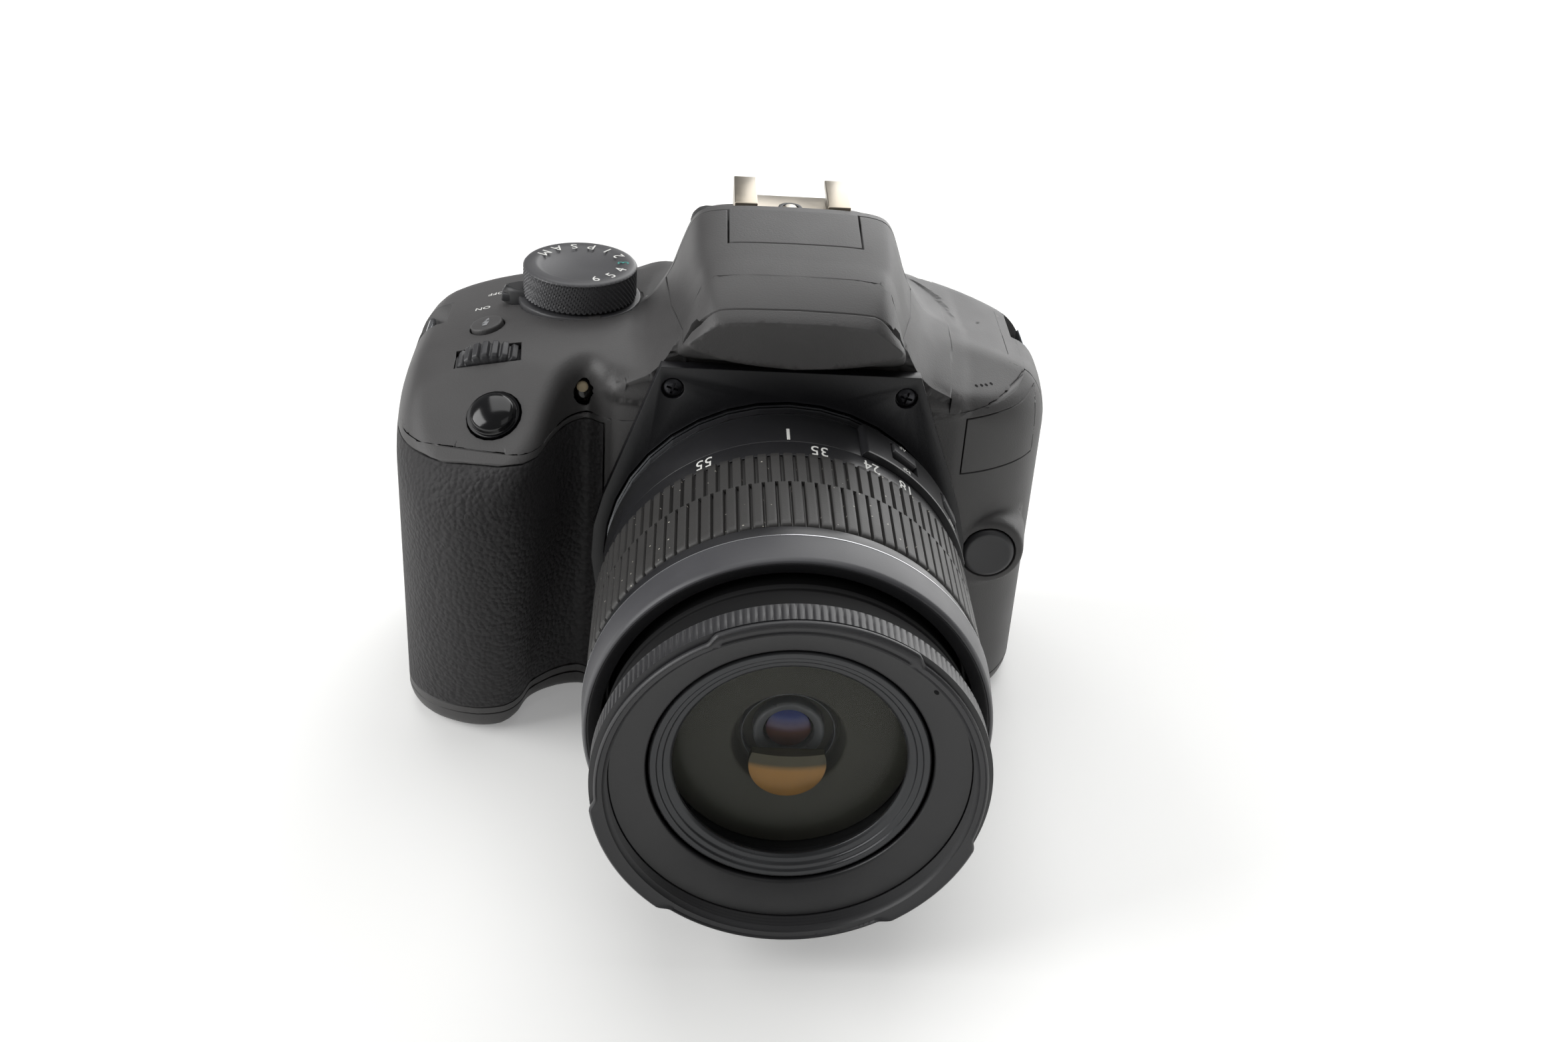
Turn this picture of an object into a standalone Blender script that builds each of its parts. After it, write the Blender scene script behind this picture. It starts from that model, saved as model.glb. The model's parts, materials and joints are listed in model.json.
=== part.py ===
# Single-lens reflex camera with a standard zoom lens, in metres, +Z up, lens towards -Y.
# Pieces are placed from the lens mount: x = 0 and OPTICAL_HEIGHT are the optical axis,
# y = 0 is the mount's flange and z = 0 the base. One empty then centres the camera on the origin.
import math

import bmesh
import bpy
from mathutils import Vector

for old in list(bpy.data.objects):
    bpy.data.objects.remove(old, do_unlink=True)

# Clearances
FIT = 0.0003
RUNNING = 0.0004
SEAM = 0.0003

# Body form
OPTICAL_HEIGHT = 0.0380
BODY_LEFT = -0.0724
BODY_RIGHT = 0.0525
FRONT_FACE = 0.0035
GRIP_FRONT = -0.0150
GRIP_INNER = -0.0430
VALLEY_DEPTH = 0.0040
VALLEY_WIDTH = 0.0090
SHOULDER_HEIGHT = 0.0770
LEFT_DROP = 0.0085
RIGHT_DROP = 0.0100
FRONT_DROP = 0.0175
LEFT_CROWN = -0.0340
RIGHT_CROWN = 0.0220
FRONT_CROWN = 0.0220
BACK_DROP = 0.0022
BACK_CROWN = 0.0240
LEFT_TAPER = 0.0005
GRIP_TUCK = 0.0085
FLANK_TAPER = 0.0050
FLANK_HEIGHT = 0.0450
EDGE_ROUND = 0.0030
END_ROUND = 0.0022
END_RISE = 0.0065
BASE_ROUND = 0.0045
WALL = 0.0022

# Parting lines of the covers
BOTTOM_SEAM = 0.0050
SEAM_LEFT = 0.0615
SEAM_RIGHT = 0.0700
SIDE_SEAM = 0.0220

# Mirror box, shutter, sensor, board and screen, one behind the other
BOX_HALF = 0.0200
BOX_ABOVE = 0.0170
BOX_BELOW = 0.0170
BOX_WALL = 0.0032
BOX_LENGTH = 0.0356
SCREEN_THICK = 0.0013
SCREEN_OPENING = 0.0130
SCREEN_FORE = 0.0072
SCREEN_AFT = 0.0062
SCREEN_LAP = 0.0007
MIRROR_LENGTH = 0.0250
MIRROR_THICK = 0.0012
MIRROR_PIN = 0.0008
SHUTTER_THICK = 0.0036
SHUTTER_HALF = 0.0190
GATE_HALF = 0.0120
GATE_RISE = 0.0082
CURTAIN_THICK = 0.0007
CURTAIN_LAP = 0.0010
SENSOR_THICK = 0.0030
SENSOR_HALF = 0.0140
SENSOR_RISE = 0.0110
BOARD_THICK = 0.0016
SCREEN_PANEL_THICK = 0.0017
SCREEN_RIGHT = 0.0430
SCREEN_WIDTH = 0.0620
SCREEN_BOTTOM = 0.0090
SCREEN_HEIGHT = 0.0460
WINDOW_PROUD = 0.0003

# Prism hump, flash and hot shoe
PRISM_HEIGHT = 0.0234
PRISM_HALF = 0.0135
PRISM_TALL = 0.0042
ROOF = 0.0020
FLASH_DEPTH = 0.0138
FLASH_HALF = 0.0230
FLASH_HINGE = 0.0270
FLASH_STEP = -0.0018
TONGUE_HALF = 0.0120
TONGUE_FRONT = 0.0140
FLASH_WINDOW_HALF = 0.0140
FLASH_WINDOW_LENGTH = 0.0080
FLASH_WINDOW_THICK = 0.0020
HUMP_HALF = 0.0188
CREST_GAP = 0.0012
PLATEAU_DROP = 0.0044
PLATEAU_FALL = 0.0011
HUMP_BACK_DROP = 0.0085
HUMP_BACK_CUT = 0.0002
BEAK_FRONT = -0.0070
BEAK_TOP_HALF = 0.0155
BEAK_LOW_HALF = 0.0198
BEAK_DIP = 0.0026
BEAK_TOP_DROP = 0.0067
BEAK_HEIGHT = 0.0070
BEAK_WALL = 0.0023
SHOE_FRONT = 0.0304
SHOE_LENGTH = 0.0145
SHOE_HALF = 0.0110
SHOE_SUNK = 0.0048
SHOE_BASE = 0.0014
SHOE_GAP = 0.0022
SHOE_LIP = 0.0014
SHOE_WALL = 0.00135
SHOE_LIP_REACH = 0.0030

# Viewfinder
EYEPIECE_HALF = 0.0095
EYEPIECE_RISE = 0.0065
EYEPIECE_LENGTH = 0.0074
EYEPIECE_DROP = 0.0225
EYECUP_HALF = 0.0190
EYECUP_RISE = 0.0110
EYECUP_DEPTH = 0.0103
EYECUP_BORDER = 0.0075

# Grip rubber, front panel and fittings
RUBBER = 0.0010
RUBBER_EDGE = -0.0337
RUBBER_BOTTOM = 0.0070
RUBBER_MARGIN = 0.0015
PANEL_FRONT = 0.0006
PANEL_THICK = 0.0025
PANEL_HALF = 0.0335
PANEL_TOP_HALF = 0.0235
PANEL_TOP = 0.0770
PANEL_RADIUS = 0.0355
PANEL_SIDE_HEIGHT = 0.0500
SCREW_X = 0.0212
SCREW_BELOW = 0.0042
SCREW_HEAD = 0.0018
SCREW_SHANK = 0.0009
SCREW_LENGTH = 0.0060
BADGE_INNER = 0.0335
BADGE_WIDTH = 0.0145
BADGE_BOTTOM = 0.0560
BADGE_TOP = 0.0672
BADGE_THICK = 0.0010
LAMP_X = -0.0378
LAMP_Z = 0.0680
LAMP_RADIUS = 0.0026
LAMP_LENGTH = 0.0042
LUG_LENGTH = 0.0108
LUG_FLOOR = 0.0636
LUG_LEFT_DEPTH = 0.0073
LUG_LEFT_Y = 0.0335
LUG_RIGHT_DEPTH = 0.0072
LUG_RIGHT_Y = 0.0410
LUG_LINER = 0.0015
LUG_BAR = 0.0013
LUG_BAR_HEIGHT = 0.0023
LUG_BAR_INSET = 0.0026
LUG_BAR_LIFT = 0.0014

# Controls
DIAL_X = -0.0398
DIAL_Y = 0.0315
DIAL_RADIUS = 0.0109
DIAL_HEIGHT = 0.0062
DIAL_SHAFT = 0.0030
DIAL_SUNK = 0.0015
SWITCH_RADIUS = 0.0118
SWITCH_HEIGHT = 0.0016
SWITCH_TAB = 0.0032
SWITCH_TURN = math.radians(30)
SHUTTER_X = -0.0533
SHUTTER_Y = -0.0020
SHUTTER_RADIUS = 0.0048
SHUTTER_PROUD = 0.0012
SHUTTER_DEPTH = 0.0050
WHEEL_X = -0.0555
WHEEL_Y = 0.0110
WHEEL_RADIUS = 0.0085
WHEEL_THICK = 0.0042
WHEEL_PROUD = 0.0018
WHEEL_AXLE = 0.0015
FLASH_BUTTON_X = -0.0565
FLASH_BUTTON_Y = 0.0210
FLASH_BUTTON_RADIUS = 0.0031
FLASH_BUTTON_PROUD = 0.0009
RELEASE_X = 0.0410
RELEASE_RADIUS = 0.0051
RELEASE_PROUD = 0.0030
RELEASE_STEM = 0.0030
RELEASE_SEAT = 0.0040
RELEASE_ROOM = 0.0030
RELEASE_TRAVEL = 0.0015
BOSS_WALL = 0.0015
BOSS_RISE = 0.0023
PIN_RADIUS = 0.0012
PIN_AT = 0.0293
PIN_REACH = 0.0013
ARM_THICK = 0.0020
ARM_HALF = 0.0030
BUTTON_RADIUS = 0.0030
BUTTON_PROUD = 0.0010
BUTTON_FLANGE = 0.0010
BUTTON_FLANGE_THICK = 0.0014
KEYS_X = -0.0430
KEYS_Z = 0.0270
KEYS_RADIUS = 0.0105
SET_RADIUS = 0.0042

# Battery, card, doors and sockets
BATTERY_WIDTH = 0.0147
BATTERY_LENGTH = 0.0362
BATTERY_HEIGHT = 0.0490
BATTERY_FRONT = 0.0085
BATTERY_MARGIN = 0.0013
CARD_THICK = 0.0021
CARD_LENGTH = 0.0240
CARD_HEIGHT = 0.0320
DOOR_LIFT = 0.00025
DOOR_MARGIN = 0.0005
TRIPOD_Y = 0.0250
TRIPOD_RADIUS = 0.0060
TRIPOD_BORE = 0.0032
TRIPOD_DEPTH = 0.0083
TRIPOD_CAP = 0.0015
FLAP_FRONT = 0.0255
FLAP_LENGTH = 0.0170
FLAP_BOTTOM = 0.0200
FLAP_HEIGHT = 0.0340
FLAP_THICK = 0.0014
FLAP_SUNK = 0.0004
PORT_DEPTH = 0.0050
SOCKET_DEPTH = 0.0030

# Lens mount
MOUNT_BORE = 0.0270
MOUNT_RADIUS = 0.0328
MOUNT_THICK = 0.0025
MOUNT_OPENING = 0.0310
FLANGE_THICK = 0.0020
BAYONET_RADIUS = 0.0266
BAYONET_BORE = 0.0240
BAYONET_REACH = 0.0024

# Lens, lengths measured forward from the flange
LENS_STEPS = 36
LENS_LENGTH = 0.0700
BARREL_RADIUS = 0.0329
BARREL_END = 0.0142
GUIDE_RADIUS = 0.0307
GUIDE_WALL = 0.0010
GUIDE_END = 0.0450
SWITCH_PANEL_RISE = 0.0014
SWITCH_PANEL_START = 0.0036
SWITCH_PANEL_FROM = math.radians(22)
SWITCH_PANEL_TO = math.radians(76)
SLIDER_WIDTH = 0.0055
SLIDER_LENGTH = 0.0028
SLIDER_RISE = 0.0014
SLIDER_TRAVEL = 0.0024
SLIDER_SUNK = 0.0011
SLIDER_START = 0.0062
ZOOM_BORE = 0.0310
ZOOM_SCALE_RADIUS = 0.0331
ZOOM_SEAT_RADIUS = 0.0326
ZOOM_BEZEL_RADIUS = 0.03425
ZOOM_SCALE_END = 0.0195
ZOOM_SEAT_END = 0.0444
ZOOM_COLLAR_RADIUS = 0.0337
ZOOM_BEZEL_START = 0.0476
ZOOM_END = 0.0550
ZOOM_RECESS = 0.0035
GRIP_THICK = 0.0010
INNER_START = 0.0065
INNER_WALL = 0.0016
INNER_STEP = 0.0562
INNER_STEP_RADIUS = 0.0304
FOCUS_START = 0.0639
FOCUS_RADIUS = 0.0319
FOCUS_RIM_RADIUS = 0.0321
FOCUS_RIB_END = 0.0687
THREAD_RADIUS = 0.0294
THREAD_DEPTH = 0.0050
THREAD_SHELF = 0.0006
NAME_RING_THICK = 0.0009
NAME_RING_SLOPE = 0.0018
CELL_RADIUS = 0.0227
CELL_START = 0.0500
CELL_WALL = 0.0018
CELL_MOUTH = 0.0189
GLASS_CENTRE = 0.0602
GLASS_EDGE = 0.0560
GLASS_THICK = 0.0030
REAR_GROUP_START = 0.0120
REAR_GROUP_LENGTH = 0.0080
REAR_GROUP_FRONT = 0.0462
REAR_GROUP_FLOOR = 0.0370
REAR_GROUP_NECK = 0.0198
REAR_GROUP_WALL = 0.0023
INNER_GLASS_RADIUS = 0.0072
INNER_GLASS_EDGE = 0.0408
INNER_GLASS_SAG = 0.0016

# Values that follow from the sizes above
BOX_FRONT = MOUNT_THICK + FIT
BOX_BACK = BOX_FRONT + BOX_LENGTH
SHUTTER_FRONT = BOX_BACK + FIT
SENSOR_FRONT = SHUTTER_FRONT + SHUTTER_THICK + FIT
BOARD_FRONT = SENSOR_FRONT + SENSOR_THICK + FIT
SCREEN_FRONT = BOARD_FRONT + BOARD_THICK + FIT
SCREEN_BACK = SCREEN_FRONT + SCREEN_PANEL_THICK
BODY_BACK = SCREEN_BACK + FIT + WALL
BOX_TOP = OPTICAL_HEIGHT + BOX_ABOVE
SCREEN_LEFT = SCREEN_RIGHT - SCREEN_WIDTH
PRISM_BOTTOM = BOX_TOP + FIT + SCREEN_THICK + FIT
PRISM_ROOF = PRISM_BOTTOM + PRISM_HEIGHT
BAY_ROOF = PRISM_ROOF + 2 * FIT
FLASH_FLOOR = BAY_ROOF + ROOF
HUMP_TOP = FLASH_FLOOR + FIT + FLASH_DEPTH
SHOE_SEAT = HUMP_TOP - SHOE_SUNK
SHOE_Z = SHOE_SEAT + FIT
SHOE_BACK = SHOE_FRONT + SHOE_LENGTH
EYEPIECE_Z = HUMP_TOP - EYEPIECE_DROP
EYECUP_FRONT = BODY_BACK + FIT
EYECUP_BACK = EYECUP_FRONT + EYECUP_DEPTH
BEAK_TOP = HUMP_TOP - BEAK_TOP_DROP
BEAK_LOW = BEAK_TOP - BEAK_HEIGHT
FAR = 2 * (BODY_RIGHT - BODY_LEFT)

# Collections and the empty that carries everything
parts = bpy.data.collections.new("dslr_camera")
cutters = bpy.data.collections.new("cutters")
for group in (parts, cutters):
    bpy.context.scene.collection.children.link(group)
root = bpy.data.objects.new("camera_root", None)
root.location = (-(BODY_LEFT + BODY_RIGHT) / 2, (LENS_LENGTH - EYECUP_BACK) / 2, 0.0)
root.empty_display_size = 0.02
parts.objects.link(root)


def add_cutter(name, mesh, place=(0, 0, 0)):
    """A hidden guide, which stays a cutter until finish() makes it a part."""
    item = bpy.data.objects.new(name, mesh)
    item.location = place
    item.parent = root
    item.hide_render = True
    item.display_type = 'WIRE'
    cutters.objects.link(item)
    return item


def finish(item, colour, roughness, metallic=0.0, pivot=None):
    """Make a shape a part, with its material, carried by the root or by its joint's empty."""
    cutters.objects.unlink(item)
    parts.objects.link(item)
    item.hide_render = False
    item.display_type = 'TEXTURED'
    material = bpy.data.materials.new(item.name + "_finish")
    material.use_nodes = True
    shader = material.node_tree.nodes["Principled BSDF"]
    shader.inputs["Base Color"].default_value = (*colour, 1.0)
    shader.inputs["Roughness"].default_value = roughness
    shader.inputs["Metallic"].default_value = metallic
    item.data.materials.clear()
    item.data.materials.append(material)
    if pivot:
        item.location = item.location - pivot_place(pivot)
        item.parent = pivot
    return item


def add_pivot(name, place, carrier=None):
    """An empty on a joint's axis."""
    empty = bpy.data.objects.new(name, None)
    empty.empty_display_size = 0.005
    empty.parent = carrier or root
    empty.location = Vector(place) - pivot_place(carrier)
    parts.objects.link(empty)
    return empty


def pivot_place(empty):
    """An empty's place from the lens mount."""
    place = Vector((0, 0, 0))
    while empty and empty != root:
        place = place + empty.location
        empty = empty.parent
    return place


def combine(target, other, operation):
    step = target.modifiers.new(other.name, 'BOOLEAN')
    step.operation = operation
    step.solver = 'EXACT'
    step.object = other
    return target


def cut(target, *others):
    for other in others:
        combine(target, other, 'DIFFERENCE')
    return target


def join(target, *others):
    for other in others:
        combine(target, other, 'UNION')
    return target


def keep(target, *others):
    for other in others:
        combine(target, other, 'INTERSECT')
    return target


def bevel(item, width, segments=1):
    step = item.modifiers.new("edges", 'BEVEL')
    step.width = width
    step.segments = segments
    step.limit_method = 'ANGLE'
    return item


def box(name, low, high, origin=None):
    """A box between two corners, with its origin at its centre or at a given place."""
    low = Vector(low)
    high = Vector(high)
    centre = (low + high) / 2
    origin = centre if origin is None else Vector(origin)
    bm = bmesh.new()
    bmesh.ops.create_cube(bm, size=1.0)
    bmesh.ops.scale(bm, vec=high - low, verts=bm.verts)
    bmesh.ops.translate(bm, vec=centre - origin, verts=bm.verts)
    mesh = bpy.data.meshes.new(name)
    bm.to_mesh(mesh)
    bm.free()
    return add_cutter(name, mesh, origin)


def prism(name, outline, low, high, axis='Y'):
    """A flat outline drawn out along an axis: (x, z) points for Y, (y, z) for X, (x, y) for Z."""
    turns = {'X': (math.pi / 2, 0, math.pi / 2), 'Y': (math.pi / 2, 0, 0), 'Z': (0, 0, 0)}
    middle = (low + high) / 2
    places = {'X': (middle, 0, 0), 'Y': (0, middle, 0), 'Z': (0, 0, middle)}
    curve = bpy.data.curves.new(name, 'CURVE')
    curve.dimensions = '2D'
    curve.fill_mode = 'BOTH'
    curve.extrude = (high - low) / 2
    spline = curve.splines.new('POLY')
    spline.points.add(len(outline) - 1)
    for point, (across, up) in zip(spline.points, outline):
        point.co = (across, up, 0.0, 1.0)
    spline.use_cyclic_u = True
    drawn = bpy.data.objects.new(name + "_outline", curve)
    cutters.objects.link(drawn)
    bpy.context.view_layer.update()
    mesh = bpy.data.meshes.new_from_object(drawn.evaluated_get(bpy.context.evaluated_depsgraph_get()))
    bpy.data.objects.remove(drawn, do_unlink=True)
    bm = bmesh.new()
    bm.from_mesh(mesh)
    bmesh.ops.remove_doubles(bm, verts=bm.verts, dist=0.000001)
    bmesh.ops.recalc_face_normals(bm, faces=bm.faces)
    bm.to_mesh(mesh)
    bm.free()
    item = add_cutter(name, mesh, places[axis])
    item.rotation_euler = turns[axis]
    return item


def turned(name, profile, place, direction, steps=32):
    """A (radius, height) profile turned about a direction. It closes on itself or on the axis."""
    around = profile[0][0] > 0 and profile[-1][0] > 0
    pairs = list(zip(profile, profile[1:] + profile[:1]))
    area = sum(a[0] * b[1] - b[0] * a[1] for a, b in pairs)
    points = list(reversed(profile)) if area > 0 else list(profile)
    if not around and points[0][1] < points[-1][1]:
        points.reverse()
    links = [(i, i + 1) for i in range(len(points) - 1)]
    if around:
        links.append((len(points) - 1, 0))
    mesh = bpy.data.meshes.new(name)
    mesh.from_pydata([(radius, 0.0, height) for radius, height in points], links, [])
    item = add_cutter(name, mesh, place)
    item.rotation_mode = 'QUATERNION'
    item.rotation_quaternion = Vector((0, 0, 1)).rotation_difference(Vector(direction))
    step = item.modifiers.new("turn", 'SCREW')
    step.axis = 'Z'
    step.steps = steps
    step.render_steps = steps
    step.use_merge_vertices = True
    step.merge_threshold = 0.000001
    return item


def rod(name, radius, start, length, direction, steps=20, chamfer=0.0):
    """A round bar from a point along a direction, with an optional chamfer at its far end."""
    profile = [(0, length), (radius - chamfer, length), (radius, length - chamfer), (radius, 0), (0, 0)]
    if not chamfer:
        profile.pop(1)
    return turned(name, profile, start, direction, steps)


def loft(name, rings):
    """A closed skin over rings of equal counts."""
    bm = bmesh.new()
    rows = [[bm.verts.new(point) for point in ring] for ring in rings]
    count = len(rows[0])
    for low, high in zip(rows, rows[1:]):
        for i in range(count):
            bm.faces.new((low[i], low[(i + 1) % count], high[(i + 1) % count], high[i]))
    bm.faces.new(rows[0])
    bm.faces.new(rows[-1])
    bmesh.ops.recalc_face_normals(bm, faces=bm.faces)
    bmesh.ops.triangulate(bm, faces=bm.faces)
    mesh = bpy.data.meshes.new(name)
    bm.to_mesh(mesh)
    bm.free()
    mesh.shade_smooth()
    mesh.set_sharp_from_angle(angle=0.6)
    return add_cutter(name, mesh)


def smooth_loop(points, samples):
    """A closed curve through the points, with some samples to each span."""
    loop = []
    count = len(points)
    for i in range(count):
        a, b, c, d = (Vector(points[(i + k) % count]) for k in (-1, 0, 1, 2))
        for k in range(samples):
            t = k / samples
            loop.append(0.5 * (2 * b + (c - a) * t + (2 * a - 5 * b + 4 * c - d) * t ** 2
                               + (3 * b - a - 3 * c + d) * t ** 3))
    return loop


# Body form: its plan from the back centre round by the grip, the mount and the right end
PLAN = [
    (0.0, BODY_BACK),
    (-0.0250, BODY_BACK),
    (BODY_LEFT + 0.0235, BODY_BACK),
    (BODY_LEFT + 0.0095, BODY_BACK),
    (BODY_LEFT + 0.0025, BODY_BACK - 0.0035),
    (BODY_LEFT, BODY_BACK - 0.0120),
    (BODY_LEFT, BODY_BACK - 0.0250),
    (BODY_LEFT, GRIP_FRONT + 0.0270),
    (BODY_LEFT + 0.0015, GRIP_FRONT + 0.0150),
    (BODY_LEFT + 0.0055, GRIP_FRONT + 0.0060),
    (BODY_LEFT + 0.0115, GRIP_FRONT + 0.0010),
    ((BODY_LEFT + GRIP_INNER) / 2 + 0.0030, GRIP_FRONT),
    (GRIP_INNER - 0.0055, GRIP_FRONT + 0.0020),
    (GRIP_INNER - 0.0020, GRIP_FRONT + 0.0070),
    (GRIP_INNER, GRIP_FRONT + 0.0140),
    (GRIP_INNER + 0.0025, FRONT_FACE + VALLEY_DEPTH - 0.0025),
    (GRIP_INNER + 0.0060, FRONT_FACE + VALLEY_DEPTH),
    (-PANEL_HALF, FRONT_FACE + 0.0015),
    (-PANEL_HALF + 0.0065, FRONT_FACE),
    (0.0, FRONT_FACE),
    (PANEL_HALF - 0.0065, FRONT_FACE),
    (PANEL_HALF, FRONT_FACE + 0.0005),
    (BODY_RIGHT - 0.0120, FRONT_FACE + 0.0035),
    (BODY_RIGHT - 0.0060, FRONT_FACE + 0.0085),
    (BODY_RIGHT - 0.0020, FRONT_FACE + 0.0155),
    (BODY_RIGHT - 0.0002, FRONT_FACE + 0.0240),
    (BODY_RIGHT, BODY_BACK - 0.0140),
    (BODY_RIGHT - 0.0020, BODY_BACK - 0.0050),
    (BODY_RIGHT - 0.0075, BODY_BACK - 0.0005),
    (0.0250, BODY_BACK),
]


def clamp(value, low=0.0, high=1.0):
    return max(low, min(high, value))


def front_fall(y):
    """How far the shoulders have fallen towards the front."""
    return FRONT_DROP * max(0.0, (FRONT_CROWN - y) / (FRONT_CROWN - GRIP_FRONT)) ** 2.1


def top_height(x, y):
    """Height of the shoulders, falling to both ends and over the front of the grip."""
    left = max(0.0, (LEFT_CROWN - x) / (LEFT_CROWN - BODY_LEFT)) ** 2
    right = max(0.0, (x - RIGHT_CROWN) / (BODY_RIGHT - RIGHT_CROWN)) ** 1.5
    back = max(0.0, (y - BACK_CROWN) / (BODY_BACK - BACK_CROWN)) ** 1.5
    back = back * clamp((RIGHT_CROWN - x) / (RIGHT_CROWN - LEFT_CROWN))
    return SHOULDER_HEIGHT - LEFT_DROP * left - RIGHT_DROP * right - front_fall(y) - BACK_DROP * back


def top_frame(x, y):
    """A point of the shoulders with its normal."""
    step = 0.0005
    across = (top_height(x + step, y) - top_height(x - step, y)) / (2 * step)
    along = (top_height(x, y + step) - top_height(x, y - step)) / (2 * step)
    return Vector((x, y, top_height(x, y))), Vector((-across, -along, 1.0)).normalized()


def body_form(name, inset, samples):
    """The whole body below the hump, drawn in by an inset."""
    plan = smooth_loop(PLAN, samples)
    count = len(plan)
    inward = []
    for i in range(count):
        run = plan[(i + 1) % count] - plan[i - 1]
        inward.append(Vector((-run.y, run.x)).normalized())
    base = max(BASE_ROUND - inset, WALL / 2)
    round_turns = (0.0, math.pi / 4, math.pi / 2) if inset < WALL else (0.0, math.pi / 2)
    edges = []
    rises = []
    for point in plan:
        left = (LEFT_CROWN - point.x) / (LEFT_CROWN - BODY_LEFT)
        right = (point.x - RIGHT_CROWN) / (BODY_RIGHT - RIGHT_CROWN)
        end = clamp(max(left, right)) ** 2
        edges.append(max(EDGE_ROUND + END_ROUND * end - inset, WALL / 2))
        rises.append(max(EDGE_ROUND + END_RISE * end - inset, WALL / 2))

    def spot(i, z, drawn):
        point = plan[i] + inward[i] * (inset + drawn)
        low = clamp(1 - z / SEAM_LEFT)
        x = point.x + LEFT_TAPER * low * clamp((GRIP_INNER - point.x) / (GRIP_INNER - BODY_LEFT))
        flank = clamp(2 * (point.x - BODY_LEFT) / (GRIP_INNER - BODY_LEFT) - 1)
        flank = flank * clamp((-PANEL_HALF - point.x) / VALLEY_WIDTH)
        flank = flank * clamp((SIDE_SEAM - point.y) / (SIDE_SEAM - FRONT_FACE))
        x = x - FLANK_TAPER * flank * clamp(1 - z / FLANK_HEIGHT)
        tuck = clamp((FRONT_FACE - point.y) / (FRONT_FACE - GRIP_FRONT))
        return Vector((x, point.y + GRIP_TUCK * low ** 2 * tuck, z))

    def rim(i, drawn):
        point = spot(i, SEAM_LEFT, drawn)
        return top_height(point.x, point.y) - inset

    rings = []
    for angle in reversed(round_turns):
        z = inset + base * (1 - math.sin(angle))
        rings.append([spot(i, z, base * (1 - math.cos(angle))) for i in range(count)])
    for share in (0.3, 0.7):
        low = inset + base
        rings.append([spot(i, low + share * (rim(i, 0) - rises[i] - low), 0) for i in range(count)])
    for angle in round_turns:
        ring = []
        for i in range(count):
            drawn = edges[i] * (1 - math.cos(angle))
            ring.append(spot(i, rim(i, drawn) - rises[i] * (1 - math.sin(angle)), drawn))
        rings.append(ring)
    outer_ring = rings[-1]
    for share in (0.4, 0.8):
        ring = []
        for point in outer_ring:
            x = clamp(point.x, BODY_LEFT * 0.72, BODY_RIGHT * 0.65)
            y = FRONT_CROWN + 0.0025 + 0.10 * x
            at = Vector((point.x, point.y)).lerp(Vector((x, y)), share)
            ring.append(Vector((at.x, at.y, top_height(at.x, at.y) - inset)))
        rings.append(ring)
    return loft(name, rings)


def section(y, half_outline):
    """A ring across the body from the right half of its outline, top to bottom."""
    right = [Vector((x, y, z)) for x, z in half_outline]
    left = [Vector((-x, y, z)) for x, z in reversed(half_outline) if x > 0]
    return right + left


def hump_section(y, top, half):
    """The prism hump, flaring down into the shoulders."""
    back_fall = BACK_DROP * clamp((y - BACK_CROWN) / (BODY_BACK - BACK_CROWN))
    foot = SHOULDER_HEIGHT - back_fall - front_fall(y)
    low = SEAM_RIGHT - WALL
    return section(y, [
        (0.0, top + 0.0005), (half * 0.55, top + 0.0004), (half - 0.0022, top - 0.0003),
        (half, top - 0.0022), (half + 0.0018, top - 0.0070), (half + 0.0036, top - 0.0125),
        (half + 0.0075, foot + 0.0016), (half + 0.0130, foot - 0.0006), (half + 0.0130, low), (0.0, low)])


def beak_section(y, top, half, low, low_half, dip):
    """The front of the hump, over the lens, its lower edge dipping in the middle."""
    return section(y, [
        (0.0, top + 0.0003), (half - 0.0022, top), (half, top - 0.0016), (low_half, low + 0.0014),
        (low_half - 0.0015, low), (low_half * 0.5, low - dip * 0.75), (0.0, low - dip)])


up = (0, 0, 1)
back = (0, 1, 0)
front = (0, -1, 0)
body = body_form("body_form", 0.0, 2)
body_grown = body_form("body_grown", -FIT, 2)
cavity = body_form("body_cavity", WALL, 2)
HUMP_BACK = BODY_BACK - HUMP_BACK_CUT
hump = loft("hump_form", [
    hump_section(FRONT_FACE, HUMP_TOP - 0.0030, HUMP_HALF - 0.0020),
    hump_section(TONGUE_FRONT, HUMP_TOP - 0.0011, HUMP_HALF - 0.0006),
    hump_section(FLASH_HINGE, HUMP_TOP, HUMP_HALF),
    hump_section(SHOE_FRONT - CREST_GAP, HUMP_TOP, HUMP_HALF),
    hump_section(SHOE_FRONT - CREST_GAP / 2, HUMP_TOP - PLATEAU_DROP, HUMP_HALF - 0.0006),
    hump_section(SHOE_BACK, HUMP_TOP - PLATEAU_DROP - PLATEAU_FALL, HUMP_HALF - 0.0010),
    hump_section(HUMP_BACK, HUMP_TOP - HUMP_BACK_DROP, HUMP_HALF - 0.0016)])
beak_root = BEAK_LOW_HALF + 0.0012
beak = loft("beak_form", [
    beak_section(BEAK_FRONT, BEAK_TOP - 0.0006, BEAK_TOP_HALF - 0.0006, BEAK_LOW + 0.0006,
                 BEAK_LOW_HALF - 0.0006, BEAK_DIP),
    beak_section(BEAK_FRONT + 0.0010, BEAK_TOP + 0.0003, BEAK_TOP_HALF, BEAK_LOW, BEAK_LOW_HALF, BEAK_DIP),
    beak_section(FRONT_FACE, HUMP_TOP - 0.0033, HUMP_HALF - 0.0022, PANEL_TOP + 2 * FIT, beak_root, FIT),
    beak_section(FRONT_FACE + 0.0045, HUMP_TOP - 0.0026, HUMP_HALF - 0.0020, PANEL_TOP, beak_root, FIT)])
join(hump, beak)
join(body, hump)
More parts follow.
